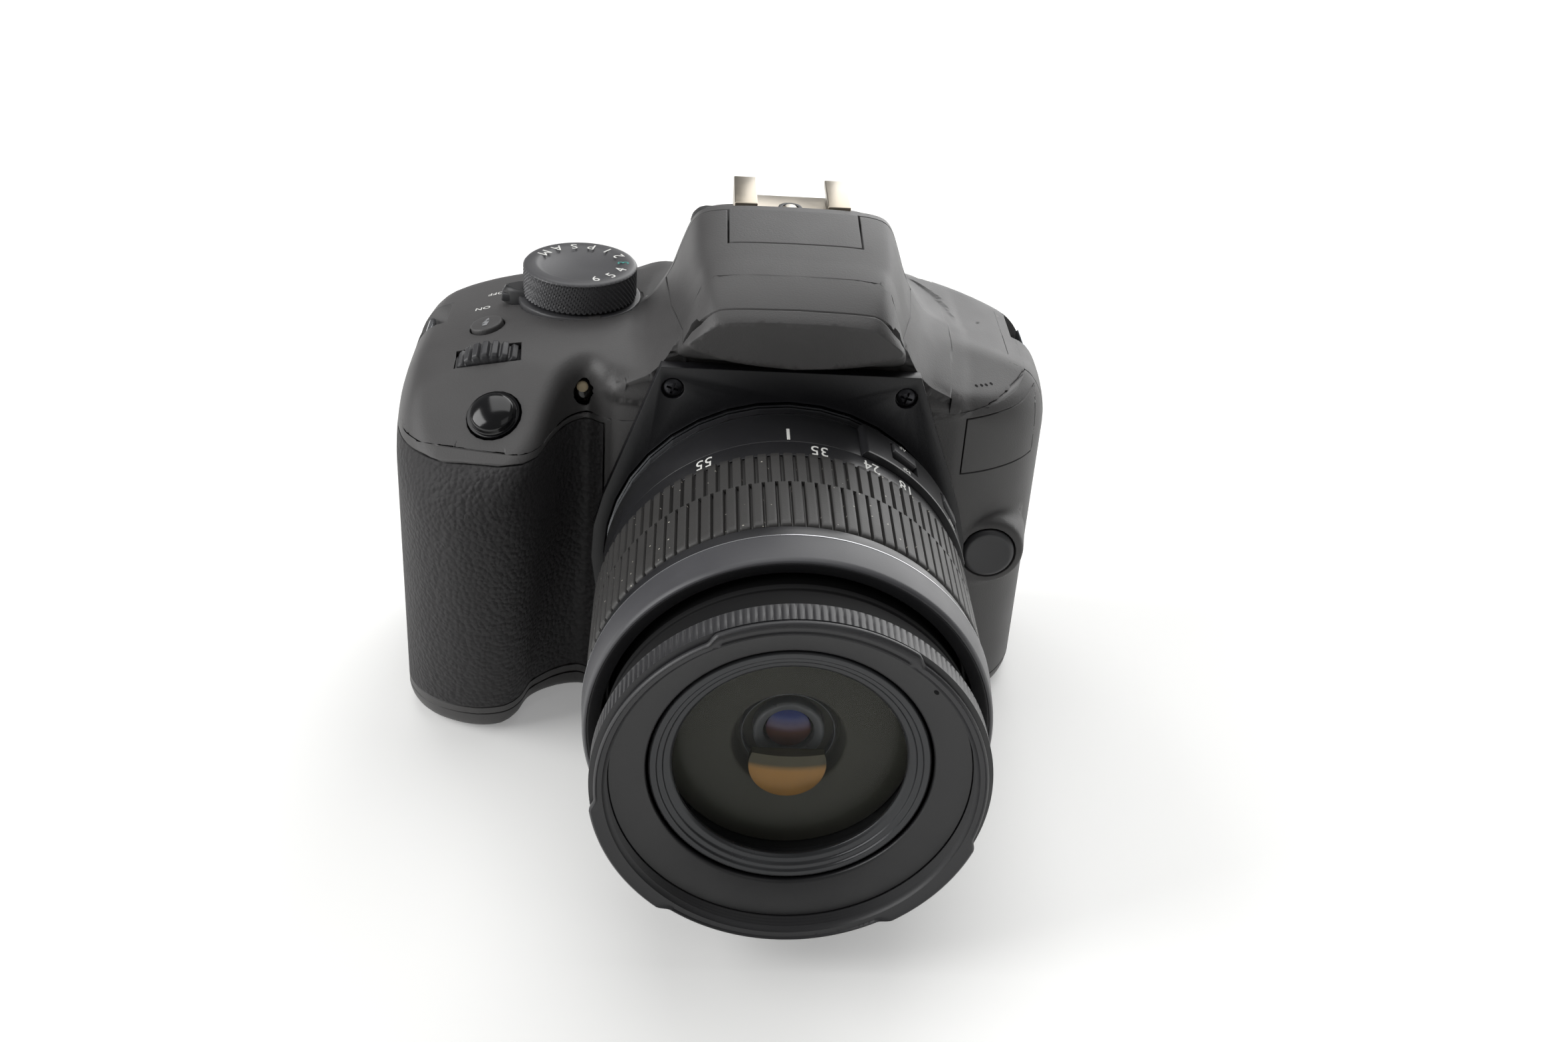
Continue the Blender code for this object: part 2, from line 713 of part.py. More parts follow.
prism_bay = box("prism_bay", (-PRISM_HALF - 0.0035, FRONT_FACE + 0.0030, BOX_TOP),
                (PRISM_HALF + 0.0035, FLASH_HINGE + FIT, BAY_ROOF))
finder_bay = box("finder_bay", (-PRISM_HALF - 0.0025, FLASH_HINGE, BOX_TOP),
                 (PRISM_HALF + 0.0025, BODY_BACK - WALL, PRISM_ROOF + PRISM_TALL + 0.0015))
finder_step = box("finder_step", (-FAR, FLASH_HINGE - WALL, BAY_ROOF),
                  (FAR, FLASH_HINGE + WALL + RUNNING, FAR))
cut(finder_bay, finder_step)

# A raised seat for the lens release button
release_place = Vector((RELEASE_X, FRONT_FACE + RELEASE_SEAT, OPTICAL_HEIGHT))
boss_radius = RELEASE_RADIUS + RUNNING + BOSS_WALL
boss = turned("release_boss", [
    (0, BOSS_RISE), (boss_radius - 0.0006, BOSS_RISE), (boss_radius, BOSS_RISE - 0.0006),
    (boss_radius + BOSS_WALL, -3 * WALL), (0, -3 * WALL)], release_place, front, 28)
join(body, boss)

# A notch for a strap lug in each upper corner, with a liner standing in the cavity
LUGS = [("left", -1, BODY_LEFT, LUG_LEFT_DEPTH, LUG_LEFT_Y),
        ("right", 1, BODY_RIGHT, LUG_RIGHT_DEPTH, LUG_RIGHT_Y)]
liner_limit = body_form("liner_limit", WALL / 2, 2)
notches = []
liners = []
for word, side, wall, depth, y in LUGS:
    spans = []
    for extra in (0.0, LUG_LINER):
        inner_x = wall - side * (depth + extra)
        half = LUG_LENGTH / 2 + extra
        low = (min(inner_x, side * FAR), y - half, LUG_FLOOR - extra)
        high = (max(inner_x, side * FAR), y + half, FAR)
        spans.append((low, high))
    notches.append(box("lug_notch_" + word, *spans[0]))
    liners.append(keep(box("lug_liner_" + word, *spans[1]), liner_limit))
cut(body, cavity, prism_bay, finder_bay)
join(body, *liners)


def seam_height(x):
    return SEAM_LEFT + (SEAM_RIGHT - SEAM_LEFT) * (x - BODY_LEFT) / (BODY_RIGHT - BODY_LEFT)


def band(name, low, high, front, back):
    """A region between two heights given at the left and right far ends."""
    outline = [(-FAR, low[0]), (FAR, low[1]), (FAR, high[1]), (-FAR, high[0])]
    return prism(name, outline, front, back)


upper = (seam_height(-FAR), seam_height(FAR))
over_seam = [z + SEAM / 2 for z in upper]
under_seam = [z - SEAM / 2 for z in upper]
over_base = [BOTTOM_SEAM + SEAM / 2] * 2
under_base = [BOTTOM_SEAM - SEAM / 2] * 2

top_cover = keep(band("top_cover", over_seam, [FAR, FAR], -FAR, FAR), body)
front_cover = keep(band("front_cover", over_base, under_seam, -FAR, SIDE_SEAM - SEAM / 2), body)
rear_cover = keep(band("rear_cover", over_base, under_seam, SIDE_SEAM + SEAM / 2, FAR), body)
bottom_cover = keep(band("bottom_cover", [-FAR, -FAR], under_base, -FAR, FAR), body)


def skin(name, region, thickness, grown):
    """A layer of the body's surface inside a region, or its bed with clearance."""
    outer = body_grown if grown else body_form(name + "_outer", 0.0, 2)
    inner = body_form(name + "_inner", thickness, 2)
    return cut(keep(region, outer), inner)


def rubber_region(name, gap):
    outline = [(-FAR, RUBBER_BOTTOM - gap), (RUBBER_EDGE + gap, RUBBER_BOTTOM - gap),
               (RUBBER_EDGE + gap, seam_height(RUBBER_EDGE) - RUBBER_MARGIN + gap),
               (-FAR, seam_height(-FAR) - RUBBER_MARGIN + gap)]
    return prism(name, outline, -FAR, SIDE_SEAM - RUBBER_MARGIN + gap)


def badge_region(name, gap):
    return box(name, (BADGE_INNER - gap, -FAR, BADGE_BOTTOM - gap),
               (BADGE_INNER + BADGE_WIDTH + gap, SIDE_SEAM - RUBBER_MARGIN, BADGE_TOP + gap))


grip_rubber = skin("grip_rubber", rubber_region("grip_rubber", 0.0), RUBBER, False)
rubber_bed = skin("rubber_bed", rubber_region("rubber_bed", FIT), RUBBER + FIT, True)
badge_plate = skin("badge_plate", badge_region("badge_plate", 0.0), BADGE_THICK, False)
badge_bed = skin("badge_bed", badge_region("badge_bed", FIT), BADGE_THICK + FIT, True)
cut(front_cover, rubber_bed, badge_bed)

# Flash: the head takes the whole front of the hump, round a fixed tongue
pocket_front = BEAK_FRONT + BEAK_WALL
head_front = pocket_front + RUNNING
lip = BEAK_TOP - 0.0020
flash_outline = [(head_front, FAR), (head_front, BEAK_TOP), (head_front + 0.0011, lip), (FLASH_STEP, lip),
                 (FLASH_STEP, FLASH_FLOOR + FIT), (FLASH_HINGE, FLASH_FLOOR + FIT), (FLASH_HINGE, FAR)]
pocket_outline = [(pocket_front, FAR), (pocket_front, BEAK_LOW + BEAK_WALL),
                  (FLASH_STEP - 0.0006, FLASH_FLOOR),
                  (FLASH_HINGE + RUNNING, FLASH_FLOOR), (FLASH_HINGE + RUNNING, FAR)]
flash_head = keep(prism("flash_head", flash_outline, -FLASH_HALF, FLASH_HALF, 'X'), hump)
tongue_gap = box("tongue_gap", (-TONGUE_HALF - RUNNING, TONGUE_FRONT - RUNNING, 0),
                 (TONGUE_HALF + RUNNING, FAR, FAR))
tongue = box("tongue", (-TONGUE_HALF, TONGUE_FRONT, 0), (TONGUE_HALF, FAR, FAR))
flash_pocket = prism("flash_pocket", pocket_outline, -FLASH_HALF - RUNNING, FLASH_HALF + RUNNING, 'X')
cut(flash_pocket, tongue)
window_low = (-FLASH_WINDOW_HALF, FLASH_STEP + 0.0022, FLASH_FLOOR + FIT)
window_high = (FLASH_WINDOW_HALF, FLASH_STEP + 0.0022 + FLASH_WINDOW_LENGTH,
               FLASH_FLOOR + FIT + FLASH_WINDOW_THICK)
window_gap = Vector((FIT, FIT, FIT))
window_bed = box("flash_window_bed", Vector(window_low) - window_gap, Vector(window_high) + window_gap)
cut(flash_head, tongue_gap, window_bed)
flash_window = box("flash_window", window_low, window_high)
shoe_seat = box("shoe_seat", (-SHOE_HALF - FIT, SHOE_FRONT - FIT, SHOE_SEAT),
                (SHOE_HALF + FIT, SHOE_BACK + FIT, FAR))
eyepiece_hole = box("eyepiece_hole",
                    (-EYEPIECE_HALF - FIT, BODY_BACK - 2 * WALL, EYEPIECE_Z - EYEPIECE_RISE - FIT),
                    (EYEPIECE_HALF + FIT, FAR, EYEPIECE_Z + EYEPIECE_RISE + FIT))
cut(top_cover, flash_pocket, shoe_seat, eyepiece_hole)

flash_pivot = add_pivot("flash_pivot", (0, FLASH_HINGE, HUMP_TOP))
finish(flash_head, (0.030, 0.030, 0.032), 0.55, pivot=flash_pivot)
finish(flash_window, (0.60, 0.62, 0.62), 0.20, pivot=flash_pivot)

# Hot shoe
shoe_top = SHOE_Z + SHOE_BASE + SHOE_GAP + SHOE_LIP
shoe_floor = SHOE_Z + SHOE_BASE
inner = SHOE_HALF - SHOE_WALL
lip_edge = inner - SHOE_LIP_REACH
shoe_outline = [(-SHOE_HALF, SHOE_Z), (SHOE_HALF, SHOE_Z), (SHOE_HALF, shoe_top), (lip_edge, shoe_top),
                (lip_edge, shoe_floor + SHOE_GAP), (inner, shoe_floor + SHOE_GAP), (inner, shoe_floor),
                (-inner, shoe_floor), (-inner, shoe_floor + SHOE_GAP), (-lip_edge, shoe_floor + SHOE_GAP),
                (-lip_edge, shoe_top), (-SHOE_HALF, shoe_top)]
hot_shoe = prism("hot_shoe", shoe_outline, SHOE_FRONT, SHOE_BACK)
finish(hot_shoe, (0.62, 0.57, 0.50), 0.35, 1.0)

# Mode dial and the power switch under it
dial_floor = top_height(DIAL_X, DIAL_Y) - DIAL_SUNK
dial_place = Vector((DIAL_X, DIAL_Y, dial_floor))
switch_low = FIT
switch_high = FIT + SWITCH_HEIGHT
dial_low = switch_high + FIT
dial_high = dial_low + DIAL_HEIGHT
dial_well = turned("dial_well",
                   [(0, FAR), (SWITCH_RADIUS + RUNNING, FAR), (SWITCH_RADIUS + RUNNING, 0), (0, 0)],
                   dial_place, up)
shaft_hole = rod("dial_shaft_hole", DIAL_SHAFT + RUNNING, dial_place - Vector((0, 0, 3 * WALL)),
                 6 * WALL, up)
tab_reach = SWITCH_RADIUS + SWITCH_TAB
tab_well = turned("tab_well", [(0, FAR), (tab_reach + RUNNING, FAR), (tab_reach + RUNNING, 0), (0, 0)],
                  dial_place, up)
tab_sector = prism("tab_sector", [
    (DIAL_X, DIAL_Y), (DIAL_X - FAR, DIAL_Y - FAR * math.tan(SWITCH_TURN + 0.26)),
    (DIAL_X - FAR, DIAL_Y + FAR * 0.30)],
    0.0, 2 * FAR, 'Z')
keep(tab_well, tab_sector)
cut(top_cover, dial_well, shaft_hole, tab_well)
mode_dial = turned("mode_dial", [
    (0, dial_high), (DIAL_RADIUS - 0.0006, dial_high), (DIAL_RADIUS, dial_high - 0.0006),
    (DIAL_RADIUS, dial_low),
    (DIAL_SHAFT, dial_low), (DIAL_SHAFT, -2 * WALL), (0, -2 * WALL)], dial_place, up)
finish(mode_dial, (0.035, 0.035, 0.037), 0.5)
power_switch = turned("power_switch", [
    (SWITCH_RADIUS, switch_high), (SWITCH_RADIUS, switch_low), (DIAL_SHAFT + RUNNING, switch_low),
    (DIAL_SHAFT + RUNNING, switch_high)], dial_place, up)
switch_tab = box("switch_tab", dial_place + Vector((-tab_reach, -0.0016, switch_low)),
                 dial_place + Vector((-SWITCH_RADIUS * 0.8, 0.0016, switch_high)))
join(power_switch, switch_tab)
finish(power_switch, (0.030, 0.030, 0.032), 0.5)

# Shutter button, main dial and flash button stand square to the shoulder's surface
spot, normal = top_frame(SHUTTER_X, SHUTTER_Y)
shutter_hole = rod("shutter_hole", SHUTTER_RADIUS + RUNNING, spot - normal * 3 * SHUTTER_DEPTH,
                   6 * SHUTTER_DEPTH, normal)
shutter_button = turned("shutter_button", [
    (0, SHUTTER_PROUD), (SHUTTER_RADIUS * 0.55, SHUTTER_PROUD * 0.85),
    (SHUTTER_RADIUS * 0.9, SHUTTER_PROUD * 0.4),
    (SHUTTER_RADIUS, 0), (SHUTTER_RADIUS, -SHUTTER_DEPTH), (0, -SHUTTER_DEPTH)], spot, normal, 24)
finish(shutter_button, (0.010, 0.010, 0.011), 0.12)

spot, normal = top_frame(WHEEL_X, WHEEL_Y)
axle = normal.cross(Vector((1, 0, 0))).normalized()
if axle.y < 0:
    axle = -axle
wheel_centre = spot + normal * (WHEEL_PROUD - WHEEL_RADIUS)
half_wheel = WHEEL_THICK / 2
wheel_well = rod("wheel_well", WHEEL_RADIUS + RUNNING, wheel_centre - axle * (half_wheel + RUNNING),
                 WHEEL_THICK + 2 * RUNNING, axle, 36)
main_dial = turned("main_dial", [
    (WHEEL_RADIUS - 0.0005, half_wheel), (WHEEL_RADIUS, half_wheel - 0.0005),
    (WHEEL_RADIUS, 0.0005 - half_wheel),
    (WHEEL_RADIUS - 0.0005, -half_wheel), (WHEEL_AXLE, -half_wheel), (WHEEL_AXLE, half_wheel)],
    wheel_centre, axle, 36)
finish(main_dial, (0.020, 0.020, 0.021), 0.5)

spot, normal = top_frame(FLASH_BUTTON_X, FLASH_BUTTON_Y)
flash_button_hole = rod("flash_button_hole", FLASH_BUTTON_RADIUS + RUNNING, spot - normal * 3 * WALL,
                        6 * WALL, normal)
flash_button = rod("flash_button", FLASH_BUTTON_RADIUS, spot - normal * 2 * WALL,
                   2 * WALL + FLASH_BUTTON_PROUD,
                   normal, 24, 0.0005)
finish(flash_button, (0.035, 0.035, 0.037), 0.5)
cut(top_cover, shutter_hole, wheel_well, flash_button_hole)

# Self-timer lamp in the top of the valley
valley = FRONT_FACE + VALLEY_DEPTH
lamp_hole = rod("lamp_hole", LAMP_RADIUS + FIT, (LAMP_X, valley + 3 * LAMP_LENGTH, LAMP_Z),
                6 * LAMP_LENGTH, front)
lamp = rod("self_timer_lamp", LAMP_RADIUS, (LAMP_X, valley - 0.0002 + LAMP_LENGTH, LAMP_Z), LAMP_LENGTH,
           front, 20, 0.0004)
finish(lamp, (0.75, 0.70, 0.60), 0.15)
cut(top_cover, lamp_hole)

# Front panel round the mount, with its two screws
arc_end = math.asin((PANEL_SIDE_HEIGHT - OPTICAL_HEIGHT) / PANEL_RADIUS)
arc = [arc_end - k * (math.pi + 2 * arc_end) / 20 for k in range(21)]
panel_outline = [(-PANEL_TOP_HALF, PANEL_TOP), (PANEL_TOP_HALF, PANEL_TOP)]
panel_outline += [(PANEL_RADIUS * math.cos(a), OPTICAL_HEIGHT + PANEL_RADIUS * math.sin(a)) for a in arc]
front_panel = prism("front_panel", panel_outline, PANEL_FRONT, PANEL_FRONT + PANEL_THICK)
axis_place = Vector((0, 0, OPTICAL_HEIGHT))
mount_hole = rod("mount_hole", MOUNT_RADIUS + FIT, axis_place + Vector((0, FAR, 0)), 2 * FAR, front,
                 LENS_STEPS)
cut(front_panel, mount_hole)
for side, word in ((-1, "left"), (1, "right")):
    place = Vector((side * SCREW_X, PANEL_FRONT, PANEL_TOP - SCREW_BELOW))
    drill = turned("screw_hole_" + word, [
        (0, FAR), (SCREW_HEAD + FIT, FAR), (SCREW_HEAD + FIT, -PANEL_THICK / 2),
        (SCREW_SHANK + FIT, -PANEL_THICK / 2),
        (SCREW_SHANK + FIT, -SCREW_LENGTH - FIT), (0, -SCREW_LENGTH - FIT)], place, front, 16)
    screw = turned("panel_screw_" + word, [
        (0, 0), (SCREW_HEAD, 0), (SCREW_HEAD, FIT - PANEL_THICK / 2), (SCREW_SHANK, FIT - PANEL_THICK / 2),
        (SCREW_SHANK, -SCREW_LENGTH), (0, -SCREW_LENGTH)], place, front, 16)
    finish(screw, (0.04, 0.04, 0.04), 0.4, 0.8)
    cut(front_panel, drill)
    cut(top_cover, drill)
finish(front_panel, (0.008, 0.008, 0.008), 0.5)

# Lens release button, and the lock pin that it draws back out of the lens
arm_front = release_place.y + WALL + RELEASE_ROOM
arm_low = OPTICAL_HEIGHT - ARM_HALF
arm_high = OPTICAL_HEIGHT + ARM_HALF
mount_opening = rod("mount_opening", MOUNT_OPENING, axis_place + Vector((0, SIDE_SEAM, 0)), FAR, front, 40)
release_well = rod("release_well", RELEASE_RADIUS + RUNNING, release_place, FAR, front, 28)
stem_hole = rod("stem_hole", RELEASE_STEM + RUNNING, release_place + Vector((0, 4 * RELEASE_ROOM, 0)),
                8 * RELEASE_ROOM, front)
cut(front_cover, mount_opening, release_well, stem_hole)
stem_end = FIT - WALL - RELEASE_ROOM
release_button = turned("lens_release_button", [
    (0, RELEASE_PROUD), (RELEASE_RADIUS - 0.0008, RELEASE_PROUD), (RELEASE_RADIUS, RELEASE_PROUD - 0.0008),
    (RELEASE_RADIUS, FIT + RELEASE_TRAVEL), (RELEASE_STEM, FIT + RELEASE_TRAVEL), (RELEASE_STEM, stem_end),
    (0, stem_end)], release_place, front, 28)
finish(release_button, (0.020, 0.020, 0.021), 0.5)
lock_pin = rod("lens_lock_pin", PIN_RADIUS, (PIN_AT, arm_front + ARM_THICK / 2, OPTICAL_HEIGHT),
               arm_front + ARM_THICK / 2 + PIN_REACH, front, 16)
join(lock_pin, box("lock_arm", (PIN_AT - 2 * PIN_RADIUS, arm_front, arm_low),
                   (RELEASE_X + RELEASE_STEM, arm_front + ARM_THICK, arm_high)))
pin_hole = rod("pin_hole", PIN_RADIUS + RUNNING, (PIN_AT, SIDE_SEAM, OPTICAL_HEIGHT),
               SIDE_SEAM + PIN_REACH + FIT, front, 16)
finish(lock_pin, (0.55, 0.55, 0.55), 0.3, 1.0)

# Strap lugs: a metal bar across each notch
for word, side, wall, depth, y in LUGS:
    bar_x = wall - side * LUG_BAR_INSET
    bar_end = bar_x - side * LUG_BAR
    half = LUG_LENGTH / 2 - FIT
    lug = box("strap_lug_" + word, (min(bar_x, bar_end), y - half, LUG_FLOOR + LUG_BAR_LIFT),
              (max(bar_x, bar_end), y + half, LUG_FLOOR + LUG_BAR_LIFT + LUG_BAR_HEIGHT))
    bevel(lug, LUG_BAR / 4)
    finish(lug, (0.45, 0.45, 0.46), 0.35, 1.0)
cut(top_cover, *notches)
cut(rear_cover, *notches)

# Viewfinder and imaging pieces
mirror_box = box("mirror_box", (-BOX_HALF, BOX_FRONT, OPTICAL_HEIGHT - BOX_BELOW),
                 (BOX_HALF, BOX_BACK, BOX_TOP))
tunnel = box("mirror_tunnel", (BOX_WALL - BOX_HALF, -FAR, OPTICAL_HEIGHT - BOX_BELOW + BOX_WALL),
             (BOX_HALF - BOX_WALL, FAR, BOX_TOP - BOX_WALL))
screen_front = BOX_FRONT + SCREEN_FORE
screen_back = BOX_BACK - SCREEN_AFT
light_way = box("screen_opening", (-SCREEN_OPENING, screen_front, OPTICAL_HEIGHT),
                (SCREEN_OPENING, screen_back, FAR))
cut(mirror_box, tunnel, light_way)
finish(mirror_box, (0.020, 0.020, 0.020), 0.7)
focusing_screen = box("focusing_screen",
                      (-SCREEN_OPENING - SCREEN_LAP, screen_front - SCREEN_LAP, BOX_TOP + FIT),
                      (SCREEN_OPENING + SCREEN_LAP, screen_back + SCREEN_LAP, BOX_TOP + FIT + SCREEN_THICK))
finish(focusing_screen, (0.75, 0.77, 0.77), 0.35)
eyepiece_front = BODY_BACK - 0.0007 - EYEPIECE_LENGTH
prism_back = eyepiece_front - FIT
finder_front = FLASH_HINGE + WALL + RUNNING + 2 * FIT
prism_outline = [(screen_front - 0.0010, PRISM_BOTTOM), (screen_back + 0.0020, PRISM_BOTTOM),
                 (prism_back, PRISM_BOTTOM + 0.0140), (prism_back, PRISM_ROOF + PRISM_TALL - 0.0010),
                 (finder_front + 0.0020, PRISM_ROOF + PRISM_TALL), (finder_front, PRISM_ROOF),
                 (screen_front - 0.0010, PRISM_ROOF - 0.0063)]
pentamirror = prism("pentamirror", prism_outline, -PRISM_HALF, PRISM_HALF, 'X')
finish(pentamirror, (0.55, 0.57, 0.60), 0.15, 0.6)
eyepiece = box("eyepiece_lens", (-EYEPIECE_HALF, eyepiece_front, EYEPIECE_Z - EYEPIECE_RISE),
               (EYEPIECE_HALF, BODY_BACK - 0.0007, EYEPIECE_Z + EYEPIECE_RISE))
finish(eyepiece, (0.30, 0.33, 0.34), 0.05)
eyecup = box("eyecup", (-EYECUP_HALF, EYECUP_FRONT, EYEPIECE_Z - EYECUP_RISE),
             (EYECUP_HALF, EYECUP_BACK, EYEPIECE_Z + EYECUP_RISE))
bevel(eyecup, 0.0030, 3)
eyecup_hole = box("eyecup_hole",
                  (EYECUP_BORDER - EYECUP_HALF, 0, EYEPIECE_Z - EYECUP_RISE + EYECUP_BORDER * 0.7),
                  (EYECUP_HALF - EYECUP_BORDER, FAR, EYEPIECE_Z + EYECUP_RISE - EYECUP_BORDER * 0.7))
cut(eyecup, eyecup_hole)
finish(eyecup, (0.015, 0.015, 0.015), 0.8)

mirror_place = Vector((0, BOX_BACK - BOX_WALL, BOX_TOP - BOX_WALL - MIRROR_PIN - RUNNING))
main_mirror = box("main_mirror",
                  mirror_place - Vector((SCREEN_OPENING - 0.0004, MIRROR_LENGTH, MIRROR_THICK / 2)),
                  mirror_place + Vector((SCREEN_OPENING - 0.0004, 0, MIRROR_THICK / 2)), mirror_place)
main_mirror.rotation_euler = (math.radians(45), 0, 0)
pin_half = BOX_HALF - BOX_WALL - FIT
join(main_mirror,
     rod("mirror_pin", MIRROR_PIN, mirror_place - Vector((pin_half, 0, 0)), 2 * pin_half, (1, 0, 0), 12))
finish(main_mirror, (0.85, 0.85, 0.86), 0.03, 1.0)

gate_low = OPTICAL_HEIGHT - GATE_RISE
gate_high = OPTICAL_HEIGHT + GATE_RISE
curtain_drop = 2 * GATE_RISE + CURTAIN_LAP
slot_mid = SHUTTER_FRONT + SHUTTER_THICK / 2
slot_half = CURTAIN_THICK / 2 + RUNNING
slot_low = gate_low - curtain_drop - CURTAIN_LAP - RUNNING
shutter_frame = box("shutter_frame", (-SHUTTER_HALF, SHUTTER_FRONT, slot_low - 0.0010),
                    (SHUTTER_HALF, SHUTTER_FRONT + SHUTTER_THICK, BOX_TOP))
gate = box("shutter_gate", (-GATE_HALF, 0, gate_low), (GATE_HALF, FAR, gate_high))
curtain_slot = box("curtain_slot", (-GATE_HALF - CURTAIN_LAP - RUNNING, slot_mid - slot_half, slot_low),
                   (GATE_HALF + CURTAIN_LAP + RUNNING, slot_mid + slot_half,
                    gate_high + CURTAIN_LAP + RUNNING))
cut(shutter_frame, gate, curtain_slot)
finish(shutter_frame, (0.020, 0.020, 0.020), 0.5)
curtain = box("shutter_curtain",
              (-GATE_HALF - CURTAIN_LAP, slot_mid - CURTAIN_THICK / 2, gate_low - CURTAIN_LAP),
              (GATE_HALF + CURTAIN_LAP, slot_mid + CURTAIN_THICK / 2, gate_high + CURTAIN_LAP))
finish(curtain, (0.030, 0.030, 0.030), 0.4, 0.5)
sensor = box("image_sensor", (-SENSOR_HALF, SENSOR_FRONT, OPTICAL_HEIGHT - SENSOR_RISE),
             (SENSOR_HALF, SENSOR_FRONT + SENSOR_THICK, OPTICAL_HEIGHT + SENSOR_RISE))
finish(sensor, (0.10, 0.16, 0.14), 0.10)

# Board, screen and screen window against the back
screen_top = SCREEN_BOTTOM + SCREEN_HEIGHT
board = box("main_board", (SCREEN_LEFT, BOARD_FRONT, SCREEN_BOTTOM),
            (SCREEN_RIGHT, BOARD_FRONT + BOARD_THICK, screen_top))
finish(board, (0.03, 0.12, 0.06), 0.5)
screen_panel = box("screen_panel", (SCREEN_LEFT, SCREEN_FRONT, SCREEN_BOTTOM),
                   (SCREEN_RIGHT, SCREEN_BACK, screen_top))
finish(screen_panel, (0.02, 0.02, 0.025), 0.2)
window_edge = 0.0010
window = box("screen_window", (SCREEN_LEFT - window_edge, SCREEN_BACK + FIT, SCREEN_BOTTOM - window_edge),
             (SCREEN_RIGHT + window_edge, BODY_BACK + WINDOW_PROUD, screen_top + window_edge))
window_hole = box("screen_hole",
                  (SCREEN_LEFT - window_edge - FIT, SCREEN_BACK - FIT, SCREEN_BOTTOM - window_edge - FIT),
                  (SCREEN_RIGHT + window_edge + FIT, FAR, screen_top + window_edge + FIT))
finish(window, (0.010, 0.010, 0.012), 0.05)
cut(rear_cover, window_hole)

# Buttons, cross keys and dioptre knob on the back, each with a flange inside the wall
flange_back = BODY_BACK - WALL - RUNNING - FIT


def rear_button(name, x, z, radius, cover, bore=0.0):
    place = Vector((x, flange_back, z))
    hole = rod(name + "_hole", radius + RUNNING, place - Vector((0, WALL, 0)), FAR, back)
    cut(cover, hole)
    face = BODY_BACK + BUTTON_PROUD - flange_back
    wide = radius + BUTTON_FLANGE
    if bore:
        profile = [(bore, face), (radius - 0.0003, face), (radius, face - 0.0003), (radius, 0), (wide, 0),
                   (wide, -BUTTON_FLANGE_THICK), (bore, -BUTTON_FLANGE_THICK)]
    else:
        profile = [(0, face), (radius - 0.0003, face), (radius, face - 0.0003), (radius, 0), (wide, 0),
                   (wide, -BUTTON_FLANGE_THICK), (0, -BUTTON_FLANGE_THICK)]
    return finish(turned(name, profile, place, back, 20), (0.030, 0.030, 0.032), 0.45)


left_column = KEYS_X - KEYS_RADIUS + BUTTON_RADIUS
right_column = KEYS_X + KEYS_RADIUS - BUTTON_RADIUS
below_keys = KEYS_Z - KEYS_RADIUS - 2.2 * BUTTON_RADIUS
above_keys = KEYS_Z + KEYS_RADIUS + 3.6 * BUTTON_RADIUS
rear_button("delete_button", left_column, below_keys, BUTTON_RADIUS, rear_cover)
rear_button("playback_button", right_column, below_keys, BUTTON_RADIUS, rear_cover)
rear_button("menu_button", right_column, above_keys, BUTTON_RADIUS, rear_cover)
rear_button("live_view_button", left_column, above_keys, BUTTON_RADIUS, rear_cover)
rear_button("cross_keys", KEYS_X, KEYS_Z, KEYS_RADIUS, rear_cover, SET_RADIUS + RUNNING + BUTTON_FLANGE)
set_button = rod("set_button", SET_RADIUS + BUTTON_FLANGE,
                 (KEYS_X, flange_back - BUTTON_FLANGE_THICK, KEYS_Z),
                 BODY_BACK + BUTTON_PROUD - flange_back + BUTTON_FLANGE_THICK, back, 20, 0.0003)
finish(set_button, (0.030, 0.030, 0.032), 0.45)
rear_button("dioptre_knob", -EYECUP_HALF - 2.6 * BUTTON_RADIUS,
            seam_height(-EYECUP_HALF) + 1.15 * BUTTON_RADIUS,
            BUTTON_RADIUS, top_cover)

# Battery, card and the door under them
battery_left = BODY_LEFT + LEFT_TAPER + BASE_ROUND + BATTERY_MARGIN
battery_right = battery_left + BATTERY_WIDTH
door_top = WALL - DOOR_LIFT
battery_low = door_top + FIT
battery = box("battery", (battery_left, BATTERY_FRONT, battery_low),
              (battery_right, BATTERY_FRONT + BATTERY_LENGTH, battery_low + BATTERY_HEIGHT))
bevel(battery, 0.0008, 1)
finish(battery, (0.05, 0.05, 0.06), 0.5)
card_left = battery_right + 2 * FIT
card_front = BATTERY_FRONT + (BATTERY_LENGTH - CARD_LENGTH) / 2
card = box("memory_card", (card_left, card_front, battery_low),
           (card_left + CARD_THICK, card_front + CARD_LENGTH, battery_low + CARD_HEIGHT))
finish(card, (0.03, 0.06, 0.16), 0.4)
door_left = battery_left - DOOR_MARGIN
door_right = card_left + CARD_THICK + DOOR_MARGIN
door_front = BATTERY_FRONT - DOOR_MARGIN
door_back = BATTERY_FRONT + BATTERY_LENGTH + DOOR_MARGIN
door_pivot = add_pivot("battery_door_pivot", (door_right, 0, DOOR_LIFT))
door = box("battery_door", (door_left, door_front, DOOR_LIFT), (door_right, door_back, door_top))
finish(door, (0.028, 0.028, 0.030), 0.55, pivot=door_pivot)
door_hole = box("battery_door_hole", (door_left - RUNNING, door_front - RUNNING, -FAR),
                (door_right + RUNNING, door_back + RUNNING, 2 * WALL))

